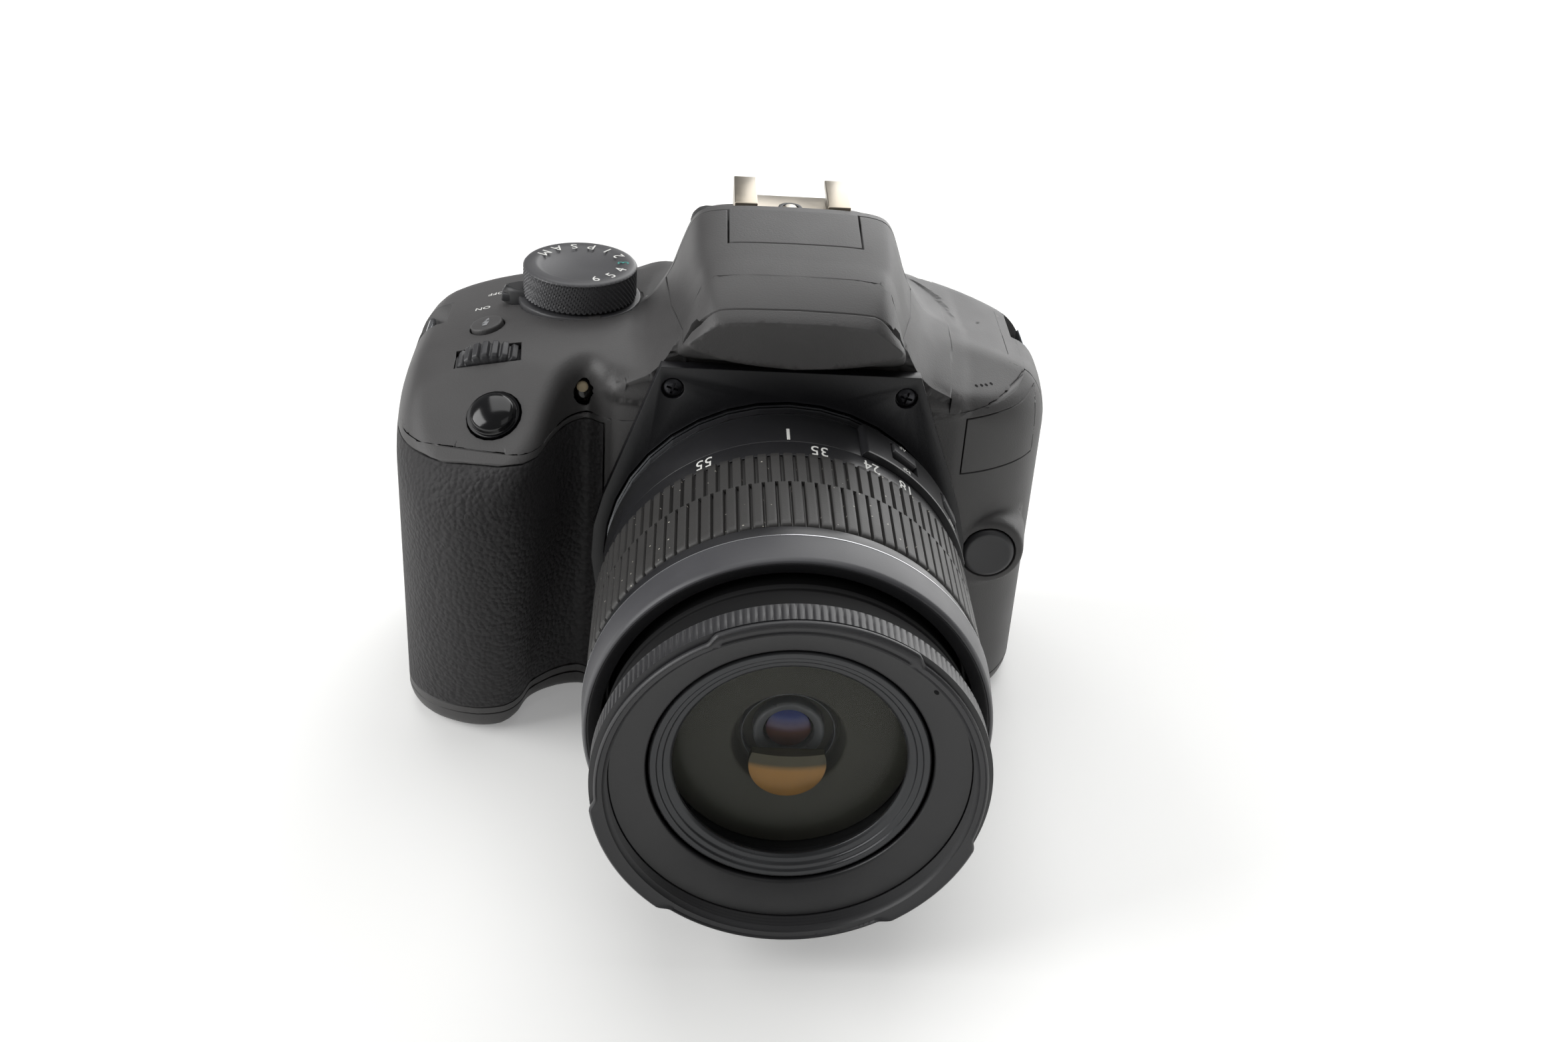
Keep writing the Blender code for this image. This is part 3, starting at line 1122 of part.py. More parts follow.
# Tripod socket in the base, under the optical axis
tripod_place = Vector((0, TRIPOD_Y, DOOR_LIFT))
tripod_high = TRIPOD_DEPTH + TRIPOD_CAP
tripod = turned("tripod_socket", [
    (0, tripod_high), (TRIPOD_RADIUS, tripod_high), (TRIPOD_RADIUS, 0), (TRIPOD_BORE, 0),
    (TRIPOD_BORE, TRIPOD_DEPTH),
    (0, TRIPOD_DEPTH)], tripod_place, up, 28)
finish(tripod, (0.60, 0.60, 0.61), 0.3, 1.0)
tripod_hole = rod("tripod_hole", TRIPOD_RADIUS + FIT, (0, TRIPOD_Y, -WALL), 4 * WALL, up, 28)
cut(bottom_cover, door_hole, tripod_hole)

# Terminal block and its cover in the right end
flap_back = FLAP_FRONT + FLAP_LENGTH
flap_top = FLAP_BOTTOM + FLAP_HEIGHT
flap_outer = BODY_RIGHT - FLAP_SUNK
flap_inner = flap_outer - FLAP_THICK
flap_pivot = add_pivot("terminal_cover_pivot", (flap_outer, FLAP_FRONT, FLAP_BOTTOM))
flap = box("terminal_cover", (flap_inner, FLAP_FRONT, FLAP_BOTTOM), (flap_outer, flap_back, flap_top))
finish(flap, (0.018, 0.018, 0.018), 0.75, pivot=flap_pivot)
flap_hole = box("terminal_hole", (SCREEN_RIGHT, FLAP_FRONT - RUNNING, FLAP_BOTTOM - RUNNING),
                (FAR, flap_back + RUNNING, flap_top + RUNNING))
cut(rear_cover, flap_hole)
block = box("terminal_block", (flap_inner - FIT - PORT_DEPTH, FLAP_FRONT, FLAP_BOTTOM),
            (flap_inner - FIT, flap_back, flap_top))
socket_mouth = flap_inner - FIT - SOCKET_DEPTH
mid_y = (FLAP_FRONT + flap_back) / 2
for word, share, half_y, half_z in (("video", 0.78, 0.0058, 0.0018), ("data", 0.50, 0.0040, 0.0020),
                                    ("remote", 0.22, 0.0018, 0.0018)):
    z = FLAP_BOTTOM + share * FLAP_HEIGHT
    cut(block,
        box(word + "_socket", (socket_mouth, mid_y - half_y, z - half_z),
            (FAR, mid_y + half_y, z + half_z)))
finish(block, (0.05, 0.05, 0.05), 0.5)

finish(top_cover, (0.030, 0.030, 0.032), 0.55)
finish(front_cover, (0.030, 0.030, 0.032), 0.55)
finish(rear_cover, (0.030, 0.030, 0.032), 0.55)
finish(bottom_cover, (0.028, 0.028, 0.030), 0.55)
finish(grip_rubber, (0.014, 0.014, 0.014), 0.75)
finish(badge_plate, (0.050, 0.050, 0.052), 0.4)

# Lens mount
mount_ring = turned("body_mount_ring",
                    [(MOUNT_RADIUS, 0), (MOUNT_RADIUS, -MOUNT_THICK), (MOUNT_BORE, -MOUNT_THICK),
                                        (MOUNT_BORE, 0)], axis_place, front, LENS_STEPS)
flange_front = FIT + FLANGE_THICK
bayonet = turned("lens_bayonet", [
    (MOUNT_RADIUS - 0.0004, flange_front), (MOUNT_RADIUS - 0.0004, FIT), (BAYONET_RADIUS, FIT),
    (BAYONET_RADIUS, -BAYONET_REACH), (BAYONET_BORE, -BAYONET_REACH), (BAYONET_BORE, flange_front)],
    axis_place, front, LENS_STEPS)
cut(mount_ring, pin_hole)
cut(bayonet, pin_hole)
finish(mount_ring, (0.60, 0.60, 0.61), 0.25, 1.0)
finish(bayonet, (0.10, 0.10, 0.10), 0.4)

# Lens barrels, from the fixed rear barrel outwards
barrel_start = flange_front + FIT
guide_bore = GUIDE_RADIUS - GUIDE_WALL
rear_barrel = turned("rear_barrel", [
    (BARREL_RADIUS - 0.0005, barrel_start), (BARREL_RADIUS, barrel_start + 0.0024),
    (BARREL_RADIUS, BARREL_END),
    (GUIDE_RADIUS, BARREL_END), (GUIDE_RADIUS, GUIDE_END), (guide_bore, GUIDE_END),
    (guide_bore, barrel_start)],
    axis_place, front, LENS_STEPS)
panel_radius = BARREL_RADIUS + SWITCH_PANEL_RISE
panel_turns = [SWITCH_PANEL_FROM + k * (SWITCH_PANEL_TO - SWITCH_PANEL_FROM) / 10 for k in range(11)]
switch_outline = [(panel_radius * math.sin(a),
                   OPTICAL_HEIGHT + panel_radius * math.cos(a)) for a in panel_turns]
deep = GUIDE_RADIUS + 0.0006
switch_outline += [(deep * math.sin(a), OPTICAL_HEIGHT + deep * math.cos(a)) for a in reversed(panel_turns)]
join(rear_barrel, prism("switch_panel", switch_outline, -BARREL_END, -SWITCH_PANEL_START))
slider_low = panel_radius - SLIDER_SUNK
for name, share in (("focus_switch", 0.28), ("stabiliser_switch", 0.72)):
    turn = SWITCH_PANEL_FROM + share * (SWITCH_PANEL_TO - SWITCH_PANEL_FROM)
    half = SLIDER_WIDTH / 2
    slider = box(name, (-half, -SLIDER_START - SLIDER_LENGTH, OPTICAL_HEIGHT + slider_low),
                 (half, -SLIDER_START, OPTICAL_HEIGHT + slider_low + SLIDER_RISE), axis_place)
    slot = box(name + "_slot", (-half - RUNNING, -SLIDER_START - SLIDER_LENGTH - SLIDER_TRAVEL - RUNNING,
                                OPTICAL_HEIGHT + slider_low - FIT),
               (half + RUNNING, RUNNING - SLIDER_START, OPTICAL_HEIGHT + panel_radius + SLIDER_RISE),
               axis_place)
    slider.rotation_euler = (0, turn, 0)
    slot.rotation_euler = (0, turn, 0)
    cut(rear_barrel, slot)
    finish(slider, (0.05, 0.05, 0.05), 0.4)
finish(rear_barrel, (0.015, 0.015, 0.016), 0.35)

zoom_start = BARREL_END + FIT
zoom_ring = turned("zoom_ring", [
    (ZOOM_SCALE_RADIUS, zoom_start), (ZOOM_SCALE_RADIUS, ZOOM_SCALE_END),
    (ZOOM_SEAT_RADIUS, ZOOM_SCALE_END),
    (ZOOM_SEAT_RADIUS, ZOOM_SEAT_END), (ZOOM_COLLAR_RADIUS, ZOOM_SEAT_END),
    (ZOOM_COLLAR_RADIUS, ZOOM_BEZEL_START),
    (ZOOM_BEZEL_RADIUS, ZOOM_BEZEL_START + 0.0004), (ZOOM_BEZEL_RADIUS - 0.0005, ZOOM_END - 0.0006),
    (ZOOM_BEZEL_RADIUS - 0.0011, ZOOM_END), (ZOOM_BORE, ZOOM_END - ZOOM_RECESS), (ZOOM_BORE, zoom_start)],
    axis_place, front, LENS_STEPS)
finish(zoom_ring, (0.020, 0.020, 0.021), 0.4)
zoom_grip = turned("zoom_grip", [
    (ZOOM_SEAT_RADIUS + FIT, ZOOM_SCALE_END + FIT),
    (ZOOM_SEAT_RADIUS + FIT + GRIP_THICK, ZOOM_SCALE_END + FIT),
    (ZOOM_SEAT_RADIUS + FIT + GRIP_THICK, ZOOM_SEAT_END - FIT),
    (ZOOM_SEAT_RADIUS + FIT, ZOOM_SEAT_END - FIT)],
    axis_place, front, LENS_STEPS)
finish(zoom_grip, (0.018, 0.018, 0.018), 0.8)
inner_radius = guide_bore - FIT
inner_bore = inner_radius - INNER_WALL
front_barrel = turned("front_barrel", [
    (inner_radius, INNER_START), (inner_radius, INNER_STEP), (INNER_STEP_RADIUS, INNER_STEP + 0.0002),
    (INNER_STEP_RADIUS, FOCUS_START - FIT), (inner_bore, FOCUS_START - FIT), (inner_bore, INNER_START)],
    axis_place, front, LENS_STEPS)
finish(front_barrel, (0.012, 0.012, 0.012), 0.5)
shelf = LENS_LENGTH - THREAD_DEPTH
focus_ring = turned("focus_ring", [
    (FOCUS_RADIUS - 0.0004, FOCUS_START), (FOCUS_RADIUS, FOCUS_START + 0.0004),
    (FOCUS_RADIUS, FOCUS_RIB_END),
    (FOCUS_RIM_RADIUS, FOCUS_RIB_END + 0.0003), (FOCUS_RIM_RADIUS, LENS_LENGTH - 0.0003),
    (FOCUS_RIM_RADIUS - 0.0003, LENS_LENGTH), (THREAD_RADIUS, LENS_LENGTH), (THREAD_RADIUS, shelf),
    (THREAD_RADIUS - THREAD_SHELF, shelf), (THREAD_RADIUS - THREAD_SHELF, FOCUS_START)], axis_place,
    front, LENS_STEPS)
finish(focus_ring, (0.015, 0.015, 0.015), 0.5)
name_bore = CELL_RADIUS + RUNNING
name_radius = THREAD_RADIUS - FIT
name_ring = turned("name_ring", [
    (name_radius, shelf + FIT), (name_radius, shelf + FIT + NAME_RING_THICK),
    (name_bore, shelf + FIT + NAME_RING_THICK - NAME_RING_SLOPE),
    (name_bore, shelf + FIT - NAME_RING_SLOPE)],
    axis_place, front, LENS_STEPS)
finish(name_ring, (0.012, 0.012, 0.012), 0.35)
cell_front = shelf + FIT - NAME_RING_SLOPE + NAME_RING_THICK / 2
cell_bore = CELL_RADIUS - CELL_WALL
cell = turned("front_lens_cell", [
    (CELL_RADIUS, CELL_START), (CELL_RADIUS, cell_front), (CELL_MOUTH, cell_front - 0.0012),
    (CELL_MOUTH, cell_front - 0.0022), (cell_bore, cell_front - 0.0026), (cell_bore, CELL_START)],
    axis_place, front, LENS_STEPS)
finish(cell, (0.012, 0.012, 0.012), 0.3)
glass_radius = cell_bore - FIT
curve_steps = 6
face = []
for k in range(curve_steps + 1):
    share = k / curve_steps
    face.append((glass_radius * share, GLASS_CENTRE - (GLASS_CENTRE - GLASS_EDGE) * share ** 2))
glass_back = GLASS_EDGE - GLASS_THICK
element = turned("front_element", face + [(glass_radius, glass_back), (0, glass_back + 0.0015)],
                 axis_place, front, LENS_STEPS)
finish(element, (0.10, 0.14, 0.13), 0.02)
group_radius = inner_bore - FIT
group_flange = REAR_GROUP_START + REAR_GROUP_LENGTH
group_bore = REAR_GROUP_NECK - REAR_GROUP_WALL
group_face = []
for k in range(4):
    share = k / 3
    group_face.append((INNER_GLASS_RADIUS * share, INNER_GLASS_EDGE + INNER_GLASS_SAG * (1 - share ** 2)))
baffle_steps = 3
baffle_rise = (REAR_GROUP_FRONT - INNER_GLASS_EDGE) / baffle_steps
baffle_run = (group_bore - INNER_GLASS_RADIUS) / baffle_steps
for k in range(baffle_steps):
    radius = INNER_GLASS_RADIUS + (k + 1) * baffle_run - REAR_GROUP_WALL / 2
    group_face.append((radius, INNER_GLASS_EDGE + k * baffle_rise))
    group_face.append((radius, INNER_GLASS_EDGE + (k + 1) * baffle_rise))
rear_group = turned("rear_group", group_face + [
    (REAR_GROUP_NECK, REAR_GROUP_FRONT), (REAR_GROUP_NECK, group_flange), (group_radius, group_flange),
    (group_radius, REAR_GROUP_START), (group_bore, REAR_GROUP_START), (group_bore, REAR_GROUP_FLOOR),
    (0, REAR_GROUP_FLOOR)], axis_place, front, 40)
finish(rear_group, (0.05, 0.06, 0.06), 0.2)
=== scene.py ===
import json
import math

import bmesh
import bpy
from mathutils import Matrix, Vector
from mathutils.bvhtree import BVHTree
from mathutils.geometry import barycentric_transform

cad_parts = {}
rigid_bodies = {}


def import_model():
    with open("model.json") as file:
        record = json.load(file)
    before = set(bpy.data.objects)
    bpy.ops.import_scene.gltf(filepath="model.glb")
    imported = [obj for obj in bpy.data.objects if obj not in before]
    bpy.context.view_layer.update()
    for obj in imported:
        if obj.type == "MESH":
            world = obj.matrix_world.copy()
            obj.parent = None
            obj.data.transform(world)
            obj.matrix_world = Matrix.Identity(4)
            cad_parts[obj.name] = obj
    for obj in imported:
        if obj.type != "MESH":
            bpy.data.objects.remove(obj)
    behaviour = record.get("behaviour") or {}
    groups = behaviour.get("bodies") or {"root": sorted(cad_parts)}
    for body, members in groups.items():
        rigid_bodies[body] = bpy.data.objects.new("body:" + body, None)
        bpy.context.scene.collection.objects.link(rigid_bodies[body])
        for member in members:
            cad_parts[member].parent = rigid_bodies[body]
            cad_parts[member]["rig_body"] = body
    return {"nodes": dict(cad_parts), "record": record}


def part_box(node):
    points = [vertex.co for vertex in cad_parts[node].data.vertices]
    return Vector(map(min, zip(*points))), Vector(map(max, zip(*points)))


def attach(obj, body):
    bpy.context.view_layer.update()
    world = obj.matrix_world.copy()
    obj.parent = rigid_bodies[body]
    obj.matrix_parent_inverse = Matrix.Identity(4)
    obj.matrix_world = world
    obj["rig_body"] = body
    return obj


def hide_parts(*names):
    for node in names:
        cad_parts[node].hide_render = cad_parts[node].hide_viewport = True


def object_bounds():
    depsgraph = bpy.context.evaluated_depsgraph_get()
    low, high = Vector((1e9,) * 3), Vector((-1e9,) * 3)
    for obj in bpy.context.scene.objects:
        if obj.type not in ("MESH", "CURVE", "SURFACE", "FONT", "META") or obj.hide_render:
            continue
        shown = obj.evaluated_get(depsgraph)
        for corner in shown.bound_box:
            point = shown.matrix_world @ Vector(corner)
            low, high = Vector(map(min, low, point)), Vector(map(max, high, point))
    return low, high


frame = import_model()
cadLow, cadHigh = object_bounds()
nodes = frame["nodes"]
slotOf = {row["node"]: row["material_slot"] for row in frame["record"]["subparts"]}
print("frame loaded", len(nodes), "nodes")

mm = 0.001
mountLow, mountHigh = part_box("body_mount_ring")
axisHeight = (mountLow.z + mountHigh.z) / 2 / mm  # height of the lens axis over the base
origin = Vector(((mountLow.x + mountHigh.x) / 2, mountLow.y, 0.0))  # lens axis, at the flange, at the base
forward = Vector((0, -1, 0))
upward = Vector((0, 0, 1))


def at(x, y, z):  # millimetres from the lens axis, back from the flange and up from the base
    return origin + Vector((x, y, z)) * mm


def clamp(value, low=0.0, high=1.0):
    return max(low, min(high, value))


def linear(code):  # sRGB hex to linear
    parts = [int(code[i:i + 2], 16) / 255 for i in (1, 3, 5)]
    return [p / 12.92 if p <= 0.04045 else ((p + 0.055) / 1.055) ** 2.4 for p in parts] + [1.0]


def addNode(tree, kind, settings=None, links=None):
    node = tree.nodes.new("ShaderNode" + kind)
    for name, value in (settings or {}).items():
        if isinstance(name, int) or name in node.inputs:
            node.inputs[name].default_value = value
        else:
            setattr(node, name, value)
    for name, source in (links or {}).items():
        tree.links.new(source, node.inputs[name])
    return node


def finish(name, colour, roughness, metallic=0.0, shade=0.10, patch=7.0, spread=0.07, grain=None, dust=None, paintedReflectionFade=None,
           sockets=None, rounding=0.0):
    look = bpy.data.materials.new(name)
    look.use_nodes = True
    tree = look.node_tree
    shader = tree.nodes["Principled BSDF"]
    shader.inputs["Metallic"].default_value = metallic
    for socket, value in (sockets or {}).items():
        shader.inputs[socket].default_value = value
    place = addNode(tree, "TexCoord").outputs["Object"]
    cloud = addNode(tree, "TexNoise", {"Scale": 1 / (patch * mm), "Detail": 4.0}, {"Vector": place})
    base = linear(colour)
    tone = addNode(tree, "MixRGB", {"Color1": [v * (1 - shade) for v in base[:3]] + [1],
                                    "Color2": [v * (1 + shade) for v in base[:3]] + [1]},
                   {"Fac": cloud.outputs["Fac"]}).outputs["Color"]
    if paintedReflectionFade:  # another colour towards one height of the piece, used to paint reflections
        rise = addNode(tree, "SeparateXYZ", None, {"Vector": place})
        share = addNode(tree, "MapRange", {"From Min": paintedReflectionFade["from"] * mm, "From Max": paintedReflectionFade["to"] * mm},
                        {"Value": rise.outputs["Z"]})
        tone = addNode(tree, "MixRGB", {"Color2": linear(paintedReflectionFade["colour"])},
                       {"Fac": share.outputs["Result"], "Color1": tone}).outputs["Color"]
    if dust:  # sparse pale specks, some of the cells of a coarse pattern
        cells = addNode(tree, "TexVoronoi", {"Scale": 1 / (dust["every"] * mm)}, {"Vector": place})
        near = addNode(tree, "Math", {"operation": "LESS_THAN", 1: dust["size"] / dust["every"]},
                       {0: cells.outputs["Distance"]})
        chosen = addNode(tree, "SeparateColor", None, {"Color": cells.outputs["Color"]})
        few = addNode(tree, "Math", {"operation": "GREATER_THAN", 1: 0.6}, {0: chosen.outputs["Red"]})
        speck = addNode(tree, "Math", {"operation": "MULTIPLY"}, {0: near.outputs[0], 1: few.outputs[0]})
        tone = addNode(tree, "MixRGB", {"Color2": linear(dust["colour"])},
                       {"Fac": speck.outputs[0], "Color1": tone}).outputs["Color"]
    tree.links.new(tone, shader.inputs["Base Color"])
    if spread:
        rough = addNode(tree, "MapRange", {"To Min": roughness - spread, "To Max": roughness + spread},
                        {"Value": cloud.outputs["Fac"]})
        tree.links.new(rough.outputs["Result"], shader.inputs["Roughness"])
    else:
        shader.inputs["Roughness"].default_value = roughness
    normal = None
    if rounding:
        normal = addNode(tree, "Bevel", {"Radius": rounding * mm, "samples": 4}).outputs["Normal"]
    if grain:
        if grain["kind"] == "pebble":  # leather-like cells, their edges wandering
            sway = addNode(tree, "TexNoise", {"Scale": 1 / (grain["size"] * 1.6 * mm)}, {"Vector": place})
            moved = addNode(tree, "VectorMath", {"operation": "MULTIPLY_ADD", 1: (grain["size"] * 0.7 * mm,) * 3},
                            {0: sway.outputs["Color"], 2: place})
            cells = addNode(tree, "TexVoronoi", {"Scale": 1 / (grain["size"] * mm), "feature": "SMOOTH_F1",
                                                 "Smoothness": 0.35}, {"Vector": moved.outputs[0]})
            height = addNode(tree, "Math", {"operation": "SUBTRACT", 0: 1.0}, {1: cells.outputs["Distance"]})
        else:
            height = addNode(tree, "TexNoise", {"Scale": 1 / (grain["size"] * mm), "Detail": 2.0},
                             {"Vector": place})
        bump = addNode(tree, "Bump", {"Distance": grain["depth"] * mm, "Strength": 1.0},
                       {"Height": height.outputs[0]})
        if normal:
            tree.links.new(normal, bump.inputs["Normal"])
        normal = bump.outputs["Normal"]
    if normal:
        tree.links.new(normal, shader.inputs["Normal"])
    return look


def fine(size, depth):  # an even mould grain, in millimetres
    return {"kind": "fine", "size": size, "depth": depth}


# Mould grains are near 0.1 mm on the real thing and are drawn about three times as coarse, or they would not show.
mouldedAbs = finish("mouldedAbs", "#464545", 0.50, grain=fine(0.34, 0.035),
                    rounding=0.25)  # spark-eroded mould: soft, even, slightly sparkling charcoal
smoothAbs = finish("smoothAbs", "#3a3a3c", 0.40, grain=fine(0.45, 0.010),
                   rounding=0.2)  # polished mould: dials and buttons with a mild sheen
dialTopPaintedSheen = finish("dialTopPaintedSheen", "#4b4b4d", 0.38,
                 grain=fine(0.45, 0.010))  # the dial's top: paler than the other controls, a painted sheen
knurlBlackAndShade = finish("knurlBlackAndShade", "#19191b", 0.42, rounding=0.1)  # black moulded knurl; on the mode dial's side its darkness is partly its own black, partly painted shade
pressedRubber = finish("pressedRubber", "#302f30", 0.66, grain={"kind": "pebble", "size": 0.95, "depth": 0.28},
                       sockets={"Specular IOR Level": 0.35},
                       rounding=0.3)  # leather-grained grip skin: dull, with small bright pebble tops
satinPanel = finish("satinPanel", "#17171a", 0.42, grain=fine(0.30, 0.012),
                    rounding=0.25)  # satin black paint on ABS: nearly no grain
glossAcrylic = finish("glossAcrylic", "#0e0e10", 0.14, shade=0.05)  # polished black acrylic: sharp highlights
barrelResin = finish("barrelResin", "#262628", 0.30, grain=fine(0.28, 0.010),
                     rounding=0.12)  # glass-filled polycarbonate, moulded satin: black with broad highlights
ribRubber = finish("ribRubber", "#353433", 0.50, grain=fine(0.35, 0.02),
                   dust={"every": 1.5, "size": 0.17, "colour": "#aaa69c"})  # moulded rubber that holds dust
bezelPaint = finish("bezelPaint", "#454548", 0.42, grain=fine(0.25, 0.010),
                    rounding=0.15)  # dark grey satin lacquer
paintedHighlightEdge = finish("paintedHighlightEdge", "#c9cacd", 0.26, metallic=0.8, shade=0.05)  # pale metallic ring: a painted highlight on the bezel's back edge
blackPaintAndShade = finish("blackPaintAndShade", "#0b0b0c", 0.75, sockets={"Specular IOR Level": 0.2})  # matt black paint inside, also used as painted shade on the mic-hole discs and the slot floor behind the focus ring's upper lip
ringBlack = finish("ringBlack", "#1b1b1d", 0.38, grain=fine(0.25, 0.008),
                   sockets={"IOR": 1.55})  # satin-painted ring: dark, with a broad grey sheen
rimResin = finish("rimResin", "#2b2b2d", 0.42,
                  grain=fine(0.28, 0.010))  # moulded satin: greyer than paint
cellGrey = finish("cellGrey", "#3c3d3f", 0.30, metallic=0.4, shade=0.08)  # anodised aluminium: bright edges
nickel = finish("nickel", "#aea596", 0.30, metallic=1.0, patch=2.5,
                grain=fine(0.5, 0.006))  # nickel plate on pressed steel: warm, worn
paleContact = finish("paleContact", "#cfc9bd", 0.30, metallic=1.0, patch=1.5)  # tinned spring contacts
steel = finish("steel", "#a4a6aa", 0.25, metallic=1.0, patch=3.0)  # stainless steel: clean and cool
darkSteel = finish("darkSteel", "#3a3a3d", 0.36, metallic=0.9, patch=2.0)  # blackened screw steel
whiteInk = finish("whiteInk", "#e4e4e0", 0.55, shade=0.04, patch=1.0)  # pad-printed ink: flat and a little uneven
greyInk = finish("greyInk", "#8a8b8d", 0.55, shade=0.05, patch=1.0)  # the same ink in three more colours
tealInk = finish("tealInk", "#2c8f86", 0.50, shade=0.05, patch=1.0)
blueInk = finish("blueInk", "#4f86c9", 0.50, shade=0.05, patch=1.0)
smokedAcrylic = finish("smokedAcrylic", "#15120f", 0.12, shade=0.05)  # smoked clear moulding: dark and shiny
lampPaintedReflection = finish("lampPaintedReflection", "#b8a88a", 0.70, patch=1.0,
                  grain=fine(0.3, 0.03))  # pale beige spot behind the upper half of the lamp window: a painted reflection
softRubber = finish("softRubber", "#262627", 0.66, grain=fine(0.35, 0.02),
                    rounding=0.3)  # moulded thermoplastic rubber: dull black
screenGlass = finish("screenGlass", "#050607", 0.09, shade=0.05,
                     sockets={"Coat Weight": 1.0, "Coat Roughness": 0.03})  # hard-coated window: mirror-like black
screenDark = finish("screenDark", "#0c1014", 0.22, shade=0.06)  # unlit display under the window
coatedGlass = finish("coatedGlass", "#2a2b26", 0.03, shade=0.06, spread=0.0, sockets={
    "Alpha": 0.12, "IOR": 1.5})  # coated front element: nearly clear, a faint reflection; its faint olive colour is painted reflection of the coatings
depthPaintedReflection = finish("depthPaintedReflection", "#484840", 0.75, shade=0.06, patch=9.0)  # the depth behind the front element, painted olive-grey: a painted reflection in the coatings
amberPaintedReflection = finish("amberPaintedReflection", "#b08242", 0.25, metallic=0.3, shade=0.12, patch=3.0, spread=0.03, paintedReflectionFade={
    "from": 33.4, "to": 34.6, "colour": "#4a4632"})  # inner surface painted amber, dark olive towards its top: a painted reflection of the table in its coating
violetPaintedReflection = finish("violetPaintedReflection", "#74524a", 0.20, shade=0.10, patch=2.0, spread=0.03, paintedReflectionFade={
    "from": 38.2, "to": 41.0, "colour": "#434f90"})  # small rear surface painted rust brown, blue at its upper edge: a painted reflection in its coating
greyCoat = finish("greyCoat", "#66696c", 0.30, shade=0.08, patch=2.0)  # ground edge of an inner element
clearGlass = finish("clearGlass", "#ffffff", 0.02, shade=0.02, spread=0.0, sockets={
    "Transmission Weight": 1.0, "IOR": 1.5, "Specular Tint": linear("#c9c6ff")})  # coated optical glass
clearAcrylic = finish("clearAcrylic", "#f2f0ea", 0.05, shade=0.02, spread=0.0, sockets={
    "Transmission Weight": 1.0, "IOR": 1.49})  # clear moulded window
boardGreen = finish("boardGreen", "#1f4a33", 0.45, patch=2.0)  # solder mask on a circuit board
sensorSheen = finish("sensorSheen", "#23283a", 0.12, patch=4.0,
                     sockets={"Specular Tint": linear("#b9d0ff")})  # filter glass over silicon
mirrorSilver = finish("mirrorSilver", "#d8dadd", 0.08, metallic=1.0, shade=0.03)  # silvered glass
shrinkWrap = finish("shrinkWrap", "#2e2e31", 0.40, patch=5.0)  # printed film on the battery and card
insideLooks = {"body_plastic": mouldedAbs, "control_plastic": smoothAbs, "button_gloss": glossAcrylic,
               "grip_rubber": pressedRubber, "soft_rubber": softRubber, "panel_black": satinPanel,
               "badge": mouldedAbs, "lens_plastic": barrelResin, "lens_satin": ringBlack, "lens_glass": clearGlass,
               "metal": steel, "shoe_metal": nickel, "dark_metal": darkSteel, "clear_window": clearAcrylic,
               "screen_gloss": screenGlass, "inner_black": blackPaintAndShade, "mirror": mirrorSilver,
               "sensor": sensorSheen, "board": boardGreen, "battery": shrinkWrap, "card": shrinkWrap}
print("materials made", len(bpy.data.materials))


def setPiece(name, source, looks, body, slot, stands=(), sharp=32):
    if isinstance(source, bmesh.types.BMesh):
        mesh = bpy.data.meshes.new(name)
        source.to_mesh(mesh)
        source.free()
    else:
        mesh = source
        mesh.name = name
    mesh.materials.clear()
    for look in (looks if isinstance(looks, list) else [looks]):
        mesh.materials.append(look)
    mesh.shade_smooth()
    mesh.set_sharp_from_angle(angle=math.radians(sharp))
    piece = bpy.data.objects.new(name, mesh)
    bpy.context.scene.collection.objects.link(piece)
    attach(piece, body)
    if stands:
        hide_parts(*([stands] if isinstance(stands, str) else stands))
    return piece


def eased(profile, radius, closed=True):  # rounds each corner of a profile
    out = []
    count = len(profile)
    for i, spot in enumerate(profile):
        spot = Vector(spot)
        into = Vector(profile[i - 1]) - spot
        away = Vector(profile[(i + 1) % count]) - spot
        end = not closed and i in (0, count - 1)
        if end or spot.x <= 0 or into.length < 1e-6 or away.length < 1e-6 or into.angle(away) > 2.8:
            out.append(tuple(spot))
            continue
        reach = min(radius, into.length * 0.45, away.length * 0.45)
        start, stop = spot + into.normalized() * reach, spot + away.normalized() * reach
        for t in (0.0, 0.33, 0.67, 1.0):
            out.append(tuple(start * (1 - t) ** 2 + spot * (2 * t * (1 - t)) + stop * t * t))
    return out


def turned(profile, centre, axis, steps=144, ripple=None, closed=True):  # profile as (radius, along) in mm
    turn = upward.rotation_difference(axis).to_matrix()
    bm = bmesh.new()
    rows = []
    for radius, along in profile:
        if radius <= 1e-6:
            rows.append([bm.verts.new(centre + turn @ Vector((0, 0, along * mm)))])
            continue
        row = []
        for k in range(steps):
            angle = 2 * math.pi * k / steps
            out, onward = ripple(angle, radius, along) if ripple else (0.0, 0.0)
            r = radius + out
            spot = Vector((r * math.cos(angle), r * math.sin(angle), along + onward)) * mm
            row.append(bm.verts.new(centre + turn @ spot))
        rows.append(row)
    pairs = list(zip(rows, rows[1:])) + ([(rows[-1], rows[0])] if closed else [])
    for low, high in pairs:
        for k in range(steps):
            j = (k + 1) % steps
            if len(low) == 1 and len(high) == 1:
                break
            if len(low) == 1:
                bm.faces.new((low[0], high[j], high[k]))
            elif len(high) == 1:
                bm.faces.new((low[k], low[j], high[0]))
            else:
                bm.faces.new((low[k], low[j], high[j], high[k]))
    bmesh.ops.recalc_face_normals(bm, faces=bm.faces)
    return bm


